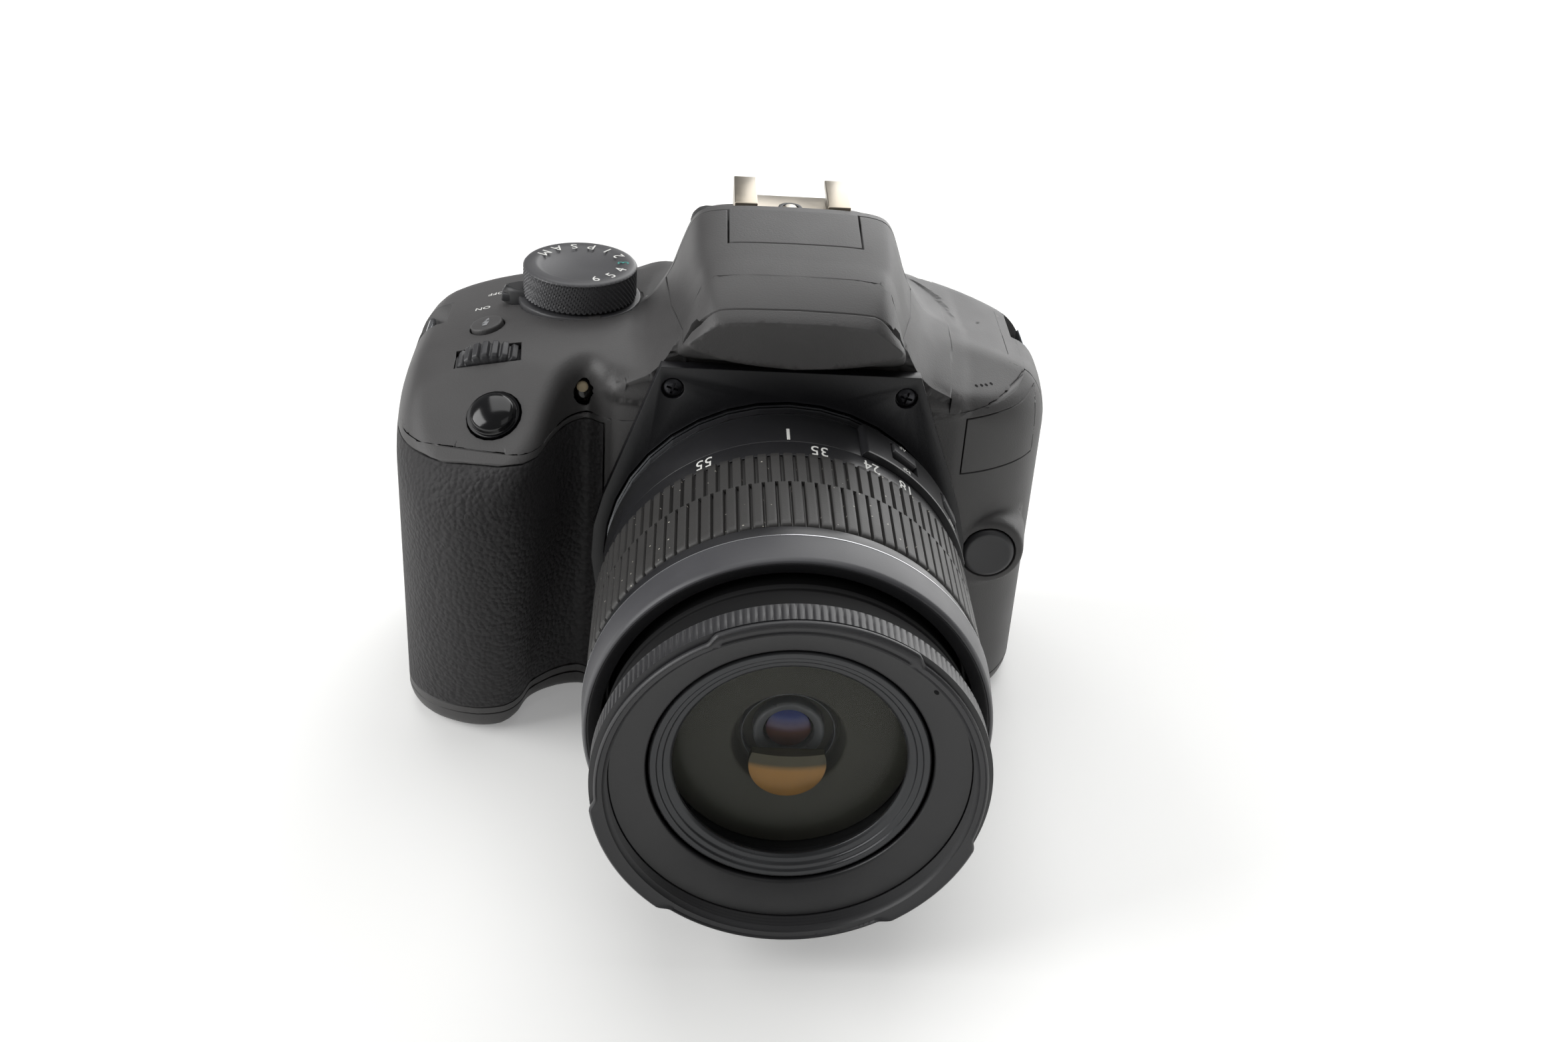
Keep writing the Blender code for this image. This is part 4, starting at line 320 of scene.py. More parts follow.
def slab(low, high, bevel, segments=3):  # a block with rounded edges, in millimetres from the flange
    bm = bmesh.new()
    bmesh.ops.create_cube(bm, size=1.0)
    low, high = at(*low), at(*high)
    for v in bm.verts:
        v.co = Vector((low[i] + (v.co[i] + 0.5) * (high[i] - low[i]) for i in range(3)))
    bmesh.ops.bevel(bm, geom=bm.edges[:], offset=bevel * mm, segments=segments, affect="EDGES", profile=0.5)
    return bm


def cadCopy(node):
    bm = bmesh.new()
    bm.from_mesh(nodes[node].data)
    bmesh.ops.remove_doubles(bm, verts=bm.verts, dist=2e-6)
    bm.normal_update()
    return bm


def bodyOf(node):
    return nodes[node]["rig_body"]


def dressed(node, look, bevel, segments=3):  # the solid with rounded edges
    bm = cadCopy(node)
    bmesh.ops.dissolve_limit(bm, angle_limit=math.radians(1.5), verts=bm.verts, edges=bm.edges)
    edges = [e for e in bm.edges if len(e.link_faces) == 2 and e.calc_face_angle(0.0) > math.radians(28)]
    bmesh.ops.bevel(bm, geom=edges, offset=bevel * mm, segments=segments, affect="EDGES", profile=0.5,
                    clamp_overlap=True)
    bmesh.ops.triangulate(bm, faces=[f for f in bm.faces if len(f.verts) > 4])
    return setPiece(node + "_dressed", bm, look, bodyOf(node), slotOf[node], node, 40)


def lettering(words, size):  # thin raised letters in millimetres, centred
    curve = bpy.data.curves.new("letters", "FONT")
    curve.body, curve.size, curve.extrude = words, size, 0.02
    curve.align_x, curve.align_y, curve.resolution_u = "CENTER", "CENTER", 3
    holder = bpy.data.objects.new("letters", curve)
    bpy.context.scene.collection.objects.link(holder)
    bpy.context.view_layer.update()
    mesh = bpy.data.meshes.new_from_object(holder.evaluated_get(bpy.context.evaluated_depsgraph_get()))
    bpy.data.objects.remove(holder)
    bm = bmesh.new()
    bm.from_mesh(mesh)
    bmesh.ops.remove_doubles(bm, verts=bm.verts, dist=1e-4)
    bpy.data.meshes.remove(mesh)
    return bm


def plate(outline, thick=0.04):  # a thin flat mark from its outline in millimetres
    bm = bmesh.new()
    top = [bm.verts.new((x, y, thick)) for x, y in outline]
    low = [bm.verts.new((x, y, 0)) for x, y in outline]
    bm.faces.new(top)
    bm.faces.new(low[::-1])
    for k in range(len(outline)):
        j = (k + 1) % len(outline)
        bm.faces.new((low[k], low[j], top[j], top[k]))
    bmesh.ops.triangulate(bm, faces=bm.faces[:])
    bmesh.ops.recalc_face_normals(bm, faces=bm.faces)
    return bm


def merged(parts):
    bm = bmesh.new()
    for part in parts:
        mesh = bpy.data.meshes.new("part")
        part.to_mesh(mesh)
        part.free()
        bm.from_mesh(mesh)
        bpy.data.meshes.remove(mesh)
    return bm


def placed(bm, mapping):  # moves a mark's vertices to where a mapping puts them
    for v in bm.verts:
        v.co = mapping(v.co.x, v.co.y, v.co.z)
    bmesh.ops.recalc_face_normals(bm, faces=bm.faces)
    return bm


def onLens(turn, along, radius):  # turn clockwise from the top, seen from the front, in radians
    return at(radius * math.sin(turn), -along, axisHeight + radius * math.cos(turn))


def aroundLens(turn, along, radius, lift, tall=1.0):  # a mark bent round the barrel
    return lambda x, y, z: onLens(turn - x / radius, along + y * tall, radius + lift + z)


lensCentre = at(0, 0, axisHeight)


def lathe(name, rows, look, body, slot, stands=(), soft=0.0, centre=None, axis=forward, steps=192, ripple=None,
          closed=True, sharp=32):  # a turned piece, its corners rounded where soft is given
    rows = eased(rows, soft, closed) if soft else rows
    bm = turned(rows, lensCentre if centre is None else centre, axis, steps, ripple, closed)
    return setPiece(name, bm, look, body, slot, stands, sharp)


def mark(name, shape, mapping, ink, body, slot):  # a thin printed mark
    return setPiece(name, placed(shape, mapping), ink, body, slot)


def roundOutline(across, tall, count=12):
    turns = [2 * math.pi * k / count for k in range(count)]
    return [(across * math.cos(t), tall * math.sin(t)) for t in turns]


def rectangle(left, right, low, high):
    return [(left, low), (right, low), (right, high), (left, high)]


# The smooth outer form of the body, which the covers' skins are drawn to
bodyForm = {"left": -72.4, "right": 52.5, "back": 52.0, "front": 3.5, "gripFront": -15.0, "gripInner": -43.0,
            "panelHalf": 33.5, "shoulder": 77.0, "leftCrown": -34.0, "rightCrown": 22.0, "frontCrown": 22.0,
            "backCrown": 24.0, "leftFall": 8.5, "rightFall": 10.0, "frontFall": 17.5, "backFall": 2.2, "baseRound": 4.5,
            "rimRound": 3.0, "endRound": 2.2, "endDrop": 6.5, "lean": 0.5, "flank": 5.0, "flankHigh": 45.0, "tuck": 8.5,
            "seam": 61.5, "seamRise": 8.5}
flats = [{"through": (-54.9, 6.4, 71.0), "normal": (-0.217, -0.504, 0.835), "blend": 0.35},  # round the shutter button
         {"through": (35.0, 20.5, 74.0), "normal": (0.355, -0.225, 0.907), "blend": 0.5}]  # front of the right shoulder
hump = {"top": 97.0, "half": 18.8, "low": 67.8}


def planPoints():
    left, right, back, front = (bodyForm[k] for k in ("left", "right", "back", "front"))
    nose, inner, panel = bodyForm["gripFront"], bodyForm["gripInner"], bodyForm["panelHalf"]
    return [(0, back), (-25, back), (left + 23.5, back), (left + 9.5, back), (left + 2.5, back - 3.5),
            (left, back - 12), (left, back - 25), (left, nose + 27), (left + 1.5, nose + 15), (left + 5.5, nose + 6),
            (left + 11.5, nose + 1), ((left + inner) / 2 + 3, nose), (inner - 5.5, nose + 2), (inner - 2, nose + 7),
            (inner, nose + 14), (inner + 2.5, front + 1.5), (inner + 6, front + 4), (-panel, front + 1.5),
            (-panel + 6.5, front), (0, front), (panel - 6.5, front), (panel, front + 0.5), (right - 12, front + 3.5),
            (right - 6, front + 8.5), (right - 2, front + 15.5), (right - 0.2, front + 24), (right, back - 14),
            (right - 2, back - 5), (right - 7.5, back - 0.5), (25, back)]


def smoothLoop(points, samples):
    out = []
    count = len(points)
    for i in range(count):
        a, b, c, d = (Vector(points[(i + k) % count]) for k in (-1, 0, 1, 2))
        for s in range(samples):
            t = s / samples
            out.append(0.5 * (2 * b + (c - a) * t + (2 * a - 5 * b + 4 * c - d) * t ** 2
                              + (3 * b - a - 3 * c + d) * t ** 3))
    return out


def plainHeight(x, y):
    f = bodyForm
    left = max(0.0, (f["leftCrown"] - x) / (f["leftCrown"] - f["left"])) ** 2
    right = max(0.0, (x - f["rightCrown"]) / (f["right"] - f["rightCrown"])) ** 1.5
    front = max(0.0, (f["frontCrown"] - y) / (f["frontCrown"] - f["gripFront"])) ** 2.1
    back = max(0.0, (y - f["backCrown"]) / (f["back"] - f["backCrown"])) ** 1.5
    back *= clamp((f["rightCrown"] - x) / (f["rightCrown"] - f["leftCrown"]))
    return (f["shoulder"] - f["leftFall"] * left - f["rightFall"] * right - f["frontFall"] * front
            - f["backFall"] * back)


def topHeight(x, y):  # the shoulders with two flats cut into them
    height = plainHeight(x, y)
    for flat in flats:
        px, py, pz = flat["through"]
        nx, ny, nz = flat["normal"]
        plane = pz - (nx * (x - px) + ny * (y - py)) / nz
        mix = max(flat["blend"] - abs(height - plane), 0.0) / flat["blend"]
        height = min(height, plane) - mix * mix * flat["blend"] / 4
    return height


def controlFrame(x, y):  # where a control stands on the shoulder, and the shoulder's normal there
    step = 0.5
    across = (plainHeight(x + step, y) - plainHeight(x - step, y)) / (2 * step)
    along = (plainHeight(x, y + step) - plainHeight(x, y - step)) / (2 * step)
    return at(x, y, plainHeight(x, y)), Vector((-across, -along, 1.0)).normalized()


def ringsToMesh(rings, caps=(True, True)):  # a loft, its flat ends on vertices of their own
    bm = bmesh.new()
    rows = [[bm.verts.new(at(*p)) for p in ring] for ring in rings]
    count = len(rows[0])
    for low, high in zip(rows, rows[1:]):
        for k in range(count):
            j = (k + 1) % count
            bm.faces.new((low[k], low[j], high[j], high[k]))
    inside = sum((v.co for v in bm.verts), Vector()) / len(bm.verts)
    bmesh.ops.recalc_face_normals(bm, faces=bm.faces)
    for ring, wanted in ((rings[0], caps[0]), (rings[-1], caps[1])):
        if wanted:
            end = bm.faces.new([bm.verts.new(at(*p)) for p in ring])
            end.normal_update()
            if end.normal.dot(end.calc_center_median() - inside) < 0:
                end.normal_flip()
    bmesh.ops.triangulate(bm, faces=bm.faces[:])
    bm.normal_update()
    return bm


def bodyRings():
    f = bodyForm
    plan = smoothLoop(planPoints(), 8)
    count = len(plan)
    along = [plan[(i + 1) % count] - plan[i - 1] for i in range(count)]
    inward = [Vector((-step.y, step.x)).normalized() for step in along]
    ends = [clamp(max((f["leftCrown"] - p.x) / (f["leftCrown"] - f["left"]),
                      (p.x - f["rightCrown"]) / (f["right"] - f["rightCrown"]))) ** 2 for p in plan]

    def spot(i, z, drawn):
        p = plan[i] + inward[i] * drawn
        low = clamp(1 - z / f["seam"])
        x = p.x + f["lean"] * low * clamp((f["gripInner"] - p.x) / (f["gripInner"] - f["left"]))
        flank = clamp(2 * (p.x - f["left"]) / (f["gripInner"] - f["left"]) - 1) * clamp((-f["panelHalf"] - p.x) / 9)
        flank *= clamp((22.0 - p.y) / 18.5)
        x -= f["flank"] * flank * clamp(1 - z / f["flankHigh"])
        tuck = clamp((f["front"] - p.y) / (f["front"] - f["gripFront"]))
        return x, p.y + f["tuck"] * low ** 2 * tuck, z

    def rim(i, drawn):
        x, y, z = spot(i, f["seam"], drawn)
        return topHeight(x, y)

    rings = []
    for k in range(6):
        angle = k / 5 * math.pi / 2
        z, drawn = f["baseRound"] * (1 - math.cos(angle)), f["baseRound"] * (1 - math.sin(angle))
        rings.append([spot(i, z, drawn) for i in range(count)])
    for k in range(1, 12):
        rings.append([spot(i, f["baseRound"] + k / 12 * (rim(i, 0) - f["rimRound"] - f["endDrop"] * ends[i]
                                                         - f["baseRound"]), 0) for i in range(count)])
    for k in range(8):
        angle = k / 7 * math.pi / 2
        ring = []
        for i in range(count):
            drawn = (f["rimRound"] + f["endRound"] * ends[i]) * (1 - math.cos(angle))
            drop = (f["rimRound"] + f["endDrop"] * ends[i]) * (1 - math.sin(angle))
            ring.append(spot(i, rim(i, drawn) - drop, drawn))
        rings.append(ring)
    outer = rings[-1]
    for k in range(1, 20):
        ring = []
        for x, y, z in outer:
            aim = clamp(x, f["left"] * 0.72, f["right"] * 0.65)
            spotXy = Vector((x, y)).lerp(Vector((aim, 24.5 + 0.10 * aim)), k / 20)
            ring.append((spotXy.x, spotXy.y, topHeight(spotXy.x, spotXy.y)))
        rings.append(ring)
    return rings


def cornersCut(points, times=2):  # rounds an open polyline by cutting its corners
    for _ in range(times):
        out = [points[0]]
        for a, b in zip(points, points[1:]):
            a, b = Vector(a), Vector(b)
            out += [tuple(a.lerp(b, 0.25)), tuple(a.lerp(b, 0.75))]
        points = out + [points[-1]]
    return points


def acrossRing(y, half):  # a whole ring from the right half of its outline
    right = [(x, y, z) for x, z in half]
    return right + [(-x, y, z) for x, z in reversed(half) if x > 0]


def humpRing(y, top, half):
    f, low = bodyForm, hump["low"]
    foot = f["shoulder"] - f["backFall"] * clamp((y - f["backCrown"]) / (f["back"] - f["backCrown"]))
    foot -= f["frontFall"] * max(0.0, (f["frontCrown"] - y) / (f["frontCrown"] - f["gripFront"])) ** 2.1
    end = min(foot - 1.4, topHeight(half + 16, y) - 0.2)  # the foot runs out into the shoulder
    near = min(foot - 0.6, topHeight(half + 13, y) + 0.3)
    return acrossRing(y, cornersCut([
        (0.0, top + 0.5), (half * 0.55, top + 0.4), (half - 2.2, top - 0.3), (half, top - 2.2), (half + 1.8, top - 7.0),
        (half + 3.6, top - 12.5), (half + 7.5, foot + 1.6), (half + 13, near), (half + 16, end),
        (half + 16, low), (0.0, low)]))


def beakRing(y, top, half, low, lowHalf, dip):
    return acrossRing(y, cornersCut([
        (0.0, top + 0.3), (half - 2.2, top), (half, top - 1.6), (lowHalf, low + 1.4), (lowHalf - 1.5, low),
        (lowHalf * 0.5, low - dip * 0.75), (0.0, low - dip)]))


def smoothTarget(bm):
    bm.verts.ensure_lookup_table()
    bm.faces.ensure_lookup_table()
    spots = [v.co.copy() for v in bm.verts]
    normals = [v.normal.copy() for v in bm.verts]
    faces = [tuple(v.index for v in f.verts) for f in bm.faces]
    bm.free()
    return BVHTree.FromPolygons(spots, faces), spots, normals, faces


top, half = hump["top"], hump["half"]
skinTargets = [smoothTarget(ringsToMesh(rings, caps)) for rings, caps in (
    (bodyRings(), (True, True)),
    ([humpRing(3.5, top - 3, half - 2), humpRing(14, top - 1.1, half - 0.6), humpRing(27, top, half),
      humpRing(29.2, top, half), humpRing(29.8, top - 4.4, half - 0.6), humpRing(44.9, top - 5.5, half - 1),
      humpRing(51.8, top - 8.5, half - 1.6)], (False, True)),
    ([beakRing(-7, 89.7, 14.9, 83.9, 19.2, 2.6), beakRing(-6, 90.6, 15.5, 83.3, 19.8, 2.6),
      beakRing(3.5, 94.2, 16.9, 77.6, 21.2, 0.3), beakRing(8, 94.4, 16.8, 77.0, 21.0, 0.3)], (True, False)))]
releasePlace = (41, 7.5)  # the lens release, across and back from the flange
boss = turned(eased([(0, 2.3), (6.4, 2.3), (7.0, 1.7), (8.5, -6.6), (0, -6.6)], 0.8, False),
              at(*releasePlace, axisHeight), forward, 72, None, False)
bmesh.ops.triangulate(boss, faces=boss.faces[:])
boss.normal_update()
skinTargets.append(smoothTarget(boss))


def nearestSkin(spot, reach=0.01):  # nearest point of the smooth forms, its eased normal and the distance
    hits = []
    for tree, spots, normals, faces in skinTargets:
        hit = tree.find_nearest(spot, reach)
        if hit[0] is not None:
            a, b, c = faces[hit[2]]
            normal = barycentric_transform(hit[0], spots[a], spots[b], spots[c], normals[a], normals[b], normals[c])
            hits.append((hit[3], hit[0], normal.normalized()))
    if not hits:
        return None
    hits.sort(key=lambda h: h[0])
    least = hits[0][0]
    blended = sum((h[2] * math.exp(-((h[0] - least) / (0.8 * mm)) ** 2) for h in hits), Vector())
    return hits[0][1], blended.normalized(), least


def onTop(x, y, lift=0.0):  # a point of the body's top, lifted along its normal
    best = None
    for tree, spots, normals, faces in skinTargets:
        hit = tree.ray_cast(at(x, y, 130), -upward)
        if hit[0] is not None and (best is None or hit[0].z > best[0].z):
            best = hit
    return best[0] + best[1] * lift * mm


def seamAt(x):  # height of the line between the top and front covers
    f = bodyForm
    return f["seam"] + f["seamRise"] * (x - f["left"]) / (f["right"] - f["left"])


coverSkin = {"edge": 1.7, "topEdge": 1.3, "bend": 35, "near": 0.8, "facing": 0.6, "pull": 2.4, "wall": 0.6,
             "wallClose": 0.35, "seamBand": 0.45, "lipBand": 0.4, "flatBand": 0.3}


def islands(bm):  # groups of faces that join without a sharp edge
    seen = set()
    for first in bm.faces:
        if first in seen:
            continue
        island, stack = [], [first]
        seen.add(first)
        while stack:
            face = stack.pop()
            island.append(face)
            for edge in face.edges:
                if len(edge.link_faces) == 2 and edge.calc_face_angle(3.0) < math.radians(coverSkin["bend"]):
                    for other in edge.link_faces:
                        if other not in seen:
                            seen.add(other)
                            stack.append(other)
        yield island


def markOuter(bm, outer):  # the islands that lie along the smooth form
    for island in islands(bm):
        area = away = facing = 0.0
        for face in island:
            hit = nearestSkin(face.calc_center_median())
            size = face.calc_area()
            area += size
            away += size * (hit[2] if hit else 0.01)
            facing += size * (face.normal.dot(hit[1]) if hit else -1)
        if area and away / area < coverSkin["near"] * mm and facing / area > coverSkin["facing"]:
            for face in island:
                face[outer] = 1


def meetAtSeam(bm, node, outer, edge):  # the top and front covers meet without a visible line along the front
    slope = Vector(flats[0]["normal"]).normalized()
    steep = upward - slope * slope.z  # up the slope of the shutter flat
    lips = set()
    for v in bm.verts:
        spot = (v.co - origin) / mm
        rise = (seamAt(spot.x) - spot.z) * mm
        onGrip = spot.x < -40 and spot.y < 2
        if onGrip and any(f[outer] for f in v.link_faces) and (v in edge or (rise > 0) == (node == "top_cover")):
            onFlat = abs((spot - Vector(flats[0]["through"])).dot(slope)) < coverSkin["flatBand"]
            v.co += (steep / steep.z if onFlat else upward) * rise  # both end at the seam
            lips.add(v)
        elif (onGrip or spot.x > -36 and spot.y < 21) and abs(rise) < coverSkin["lipBand"] * mm:
            v.co.z += rise
            lips.add(v)
    bmesh.ops.delete(bm, geom=[f for f in bm.faces if all(v in lips for v in f.verts)], context="FACES")


def smoothNormals(mesh):  # the outer skin is shaded with the smooth form's own normals
    marks = mesh.attributes["outer"].data
    custom = [Vector()] * len(mesh.loops)
    for face in mesh.polygons:
        if marks[face.index].value:
            for loop in face.loop_indices:
                hit = nearestSkin(mesh.vertices[mesh.loops[loop].vertex_index].co)
                if hit and hit[1].dot(face.normal) > 0.75:
                    custom[loop] = hit[1]
    mesh.normals_split_custom_set(custom)


def skinned(node, look):  # the solid, its outer skin drawn to the smooth form
    limit = coverSkin["topEdge" if node == "top_cover" else "edge"] * mm
    bm = cadCopy(node)
    outer = bm.faces.layers.int.new("outer")
    markOuter(bm, outer)
    for _ in range(7):
        cutEdges = [e for e in bm.edges if e.calc_length() > limit and any(f[outer] for f in e.link_faces)]
        if not cutEdges:
            break
        bmesh.ops.subdivide_edges(bm, edges=cutEdges, cuts=1)
        bmesh.ops.triangulate(bm, faces=[f for f in bm.faces if len(f.verts) > 3])
    edge = {v for v in bm.verts if abs(v.co.z / mm - seamAt((v.co - origin).x / mm)) < coverSkin["seamBand"]}
    for v in bm.verts:
        if any(f[outer] for f in v.link_faces):
            hit = nearestSkin(v.co)
            if hit and hit[2] < coverSkin["pull"] * mm:
                v.co = Vector(clamp(hit[0][i], cadLow[i], cadHigh[i]) for i in range(3))
        else:  # the inside of the wall stays under the skin
            hit = nearestSkin(v.co, 0.003)
            if hit and (v.co - hit[0]).dot(hit[1]) > -coverSkin["wallClose"] * mm and v.normal.dot(hit[1]) < -0.4:
                v.co = hit[0] - hit[1] * coverSkin["wall"] * mm
    if node in ("top_cover", "front_cover"):
        meetAtSeam(bm, node, outer, edge)
    bm.normal_update()
    piece = setPiece(node + "_skin", bm, look, bodyOf(node), slotOf[node], node, coverSkin["bend"])
    smoothNormals(piece.data)


for node in ("top_cover", "front_cover", "rear_cover", "bottom_cover", "flash_head", "grip_rubber", "badge_plate"):
    skinned(node, pressedRubber if node == "grip_rubber" else mouldedAbs)
print("covers drawn")

# Front panel with its screws
dressed("front_panel", satinPanel, 0.35)
crossScrew = {"head": 1.8, "dome": 0.25, "arm": 1.15, "armHalf": 0.22, "deep": 0.8, "turn": 0.3}


def screwHead(node):
    low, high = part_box(node)
    face = Vector(((low.x + high.x) / 2, low.y, (low.z + high.z) / 2))
    r, dome = crossScrew["head"], crossScrew["dome"]
    rows = [(0, 0), (r * 0.55, -dome * 0.3), (r, -dome - 0.25), (r, -1.0), (1.0, -1.0), (1.0, -4.0), (0, -4.0)]
    holder = lathe(node + "_dressed", rows, darkSteel, bodyOf(node), slotOf[node], node, soft=0.15, centre=face,
                   steps=48, closed=False)
    for turn in (crossScrew["turn"], crossScrew["turn"] + math.pi / 2):
        arm = bmesh.new()
        bmesh.ops.create_cube(arm, size=2 * mm)
        arm.transform(Matrix.Translation(face) @ Matrix.Rotation(turn, 4, "Y") @ Matrix.Diagonal(
            (crossScrew["arm"], crossScrew["deep"], crossScrew["armHalf"], 1)))
        mesh = bpy.data.meshes.new("arm")
        arm.to_mesh(mesh)
        arm.free()
        cutter = bpy.data.objects.new("arm", mesh)
        bpy.context.scene.collection.objects.link(cutter)
        cross = holder.modifiers.new("cross", "BOOLEAN")
        cross.operation, cross.object, cross.solver = "DIFFERENCE", cutter, "EXACT"
        result = bpy.data.meshes.new_from_object(holder.evaluated_get(bpy.context.evaluated_depsgraph_get()))
        holder.modifiers.clear()
        holder.data = result
        bpy.data.objects.remove(cutter)
    holder.data.shade_smooth()
    holder.data.set_sharp_from_angle(angle=math.radians(30))


screwHead("panel_screw_left")
screwHead("panel_screw_right")

# Shutter button, main dial, flash button
shutterButton = {"x": -53.3, "y": -2.0, "radius": 4.8, "proud": 1.2, "dome": 0.86, "sag": 1.5, "deep": 5.0}
spot, normal = controlFrame(shutterButton["x"], shutterButton["y"])
r, proud, deep = shutterButton["radius"], shutterButton["proud"], shutterButton["deep"]
domeRadius = r * shutterButton["dome"]
domeProfile = [(0, proud)]
for k in range(1, 8):
    turn = k * math.pi / 16
    domeProfile.append((domeRadius * math.sin(turn), proud - shutterButton["sag"] * (1 - math.cos(turn))))
domeProfile += [(domeRadius, -0.55), (r * 0.90, -0.75), (r, -0.7), (r, -deep), (0, -deep)]
lathe("shutterButtonDome", domeProfile, glossAcrylic, "shutter_button", "button_gloss", "shutter_button",
      centre=spot, axis=normal, steps=96, closed=False, sharp=40)

mainDial = {"x": -55.5, "y": 11.0, "radius": 8.5, "bore": 1.5, "thick": 4.2, "proud": 1.8, "teeth": 28, "depth": 0.75}
spot, normal = controlFrame(mainDial["x"], mainDial["y"])
axle = normal.cross(Vector((1, 0, 0))).normalized()
axle = -axle if axle.y < 0 else axle
wheelCentre = spot + normal * (mainDial["proud"] - mainDial["radius"]) * mm


def wheelTeeth(angle, radius, along):
    wave = math.cos(angle * mainDial["teeth"])
    share = clamp((radius - 6.5) / 1.5)
    return -mainDial["depth"] * share * clamp((-wave - 0.2) / 0.6), 0.0


r, bore, half = mainDial["radius"], mainDial["bore"], mainDial["thick"] / 2
lathe("mainDialTeeth", [(r, half), (r, -half), (bore, -half), (bore, half)], smoothAbs, "main_dial", "control_plastic",
      "main_dial", soft=0.6, centre=wheelCentre, axis=axle, steps=mainDial["teeth"] * 12, ripple=wheelTeeth, sharp=50)

flashButton = {"x": -56.5, "y": 21.0, "radius": 3.1, "proud": 0.9, "deep": 4.4}
spot, normal = controlFrame(flashButton["x"], flashButton["y"])
r, proud, deep = flashButton["radius"], flashButton["proud"], flashButton["deep"]
lathe("flashButtonCap", [(0, proud), (r, proud - 0.15), (r, -deep), (0, -deep)], mouldedAbs, "flash_button",
      "control_plastic", "flash_button", soft=0.45, centre=spot, axis=normal, steps=64, closed=False, sharp=40)
bolt = [(-0.25, 1.5), (0.65, 1.5), (0.1, 0.35), (0.75, 0.35), (-0.15, -0.9), (0.25, -0.9), (-0.4, -1.6), (-0.55, -0.75),
        (-0.25, -0.85), (-0.05, -0.05), (-0.6, -0.05)]
tilt = upward.rotation_difference(normal).to_matrix()
mark("flashButtonMark", plate(bolt), lambda x, y, z: spot + tilt @ (Vector((-x, -y, proud + z - 0.03)) * mm), greyInk,
     "flash_button", "control_plastic")

# Mode dial: knurled side, dished top, printed marks
modeDial = {"x": -39.8, "y": 31.5, "radius": 10.9, "low": 2.2, "high": 8.4, "sunk": 1.5, "ridges": 64,
            "ridgeDepth": 0.65}
dialPlace = at(modeDial["x"], modeDial["y"], plainHeight(modeDial["x"], modeDial["y"]) - modeDial["sunk"])
dialLow, dialHigh = modeDial["low"], modeDial["high"]


def dialKnurl(angle, radius, along):
    if radius < 10.4 or along < dialLow or along > dialHigh - 0.5:
        return 0.0, 0.0
    wave = (angle * modeDial["ridges"] / (2 * math.pi) + (along - dialLow) * 0.9) % 1.0
    return -modeDial["ridgeDepth"] * abs(2 * wave - 1) ** 1.5, 0.0


sideRows = [(modeDial["radius"], dialHigh - 0.55 - k * 0.42) for k in range(14)]
dialTop = [(0, -0.5), (7.2, -0.48), (8.0, -0.12), (8.6, 0.0), (10.1, 0.0), (10.6, -0.15), (10.85, -0.45)]
dialProfile = [(x, dialHigh + drop) for x, drop in dialTop] + sideRows
dialProfile += [(10.6, dialLow), (3.0, dialLow), (3.0, -4.4), (0, -4.4)]
knobBm = turned(dialProfile, dialPlace, upward, modeDial["ridges"] * 10, dialKnurl, False)
for face in knobBm.faces:
    middle = (face.calc_center_median() - dialPlace) / mm
    onSide = math.hypot(middle.x, middle.y) > 10.2 and middle.z < dialHigh - 0.4
    face.material_index = int(onSide)  # the knurled side takes the dark knurl material: its own black plus painted shade
setPiece("modeDialKnob", knobBm, [dialTopPaintedSheen, knurlBlackAndShade], "mode_dial", "control_plastic", "mode_dial", 45)
dialMarks = {"words": ["M", "A", "S", "P", "1", "2", "3", "4", "5", "6"], "from": 150.0, "step": -24.0, "size": 3.1,
             "radius": 8.3}
marks, tealMarks = [], []
for k, word in enumerate(dialMarks["words"]):
    turn = math.radians(dialMarks["from"] + k * dialMarks["step"])
    c, s = math.cos(turn), math.sin(turn)
    centre = dialPlace + Vector((c, s, 0)) * dialMarks["radius"] * mm + Vector((0, 0, dialHigh * mm))
    flat = Vector((-s, c, 0))
    radial = Vector((c, s, 0))
    letters = placed(lettering(word, dialMarks["size"]),
                     lambda x, y, z: centre + (flat * x - radial * y + upward * (z + 0.01)) * mm)
    (tealMarks if k == 6 else marks).append(letters)
setPiece("modeDialMarks", merged(marks), whiteInk, "mode_dial", "control_plastic")
setPiece("modeDialColourMark", merged(tealMarks), tealInk, "mode_dial", "control_plastic")
mark("modeDialIndex", plate(rectangle(-1.2, 1.2, -0.25, 0.25)),
     lambda x, y, z: onTop(modeDial["x"] + 13.9 + x, 30.4 + y, z + 0.01), whiteInk, "camera", "body_plastic")
dressed("power_switch", smoothAbs, 0.35)
powerTab = [(-50.2, 28.9), (-52.6, 29.5), (-54.4, 30.8), (-54.4, 32.2), (-52.6, 33.5), (-50.2, 34.1)]  # narrows outward
tabRings = [[(x + grow * 0.9, modeDial["y"] + (y - modeDial["y"]) * (1 - grow * 0.12), z) for x, y in powerTab]
            for z, grow in ((74.9, 0.0), (77.4, 0.0), (78.0, 0.4), (78.2, 1.0))]
setPiece("powerSwitchTab", ringsToMesh(tabRings), knurlBlackAndShade, "power_switch", "control_plastic", (), 50)
for word, x, y in (("ON", -58.4, 30.7), ("OFF", -56.5, 38.1)):
    mark("powerWord" + word.title(), lettering(word, 1.9), lambda gx, gy, z: onTop(x - gx, y - gy, z + 0.02), whiteInk,
         "camera", "body_plastic")
print("top controls made")

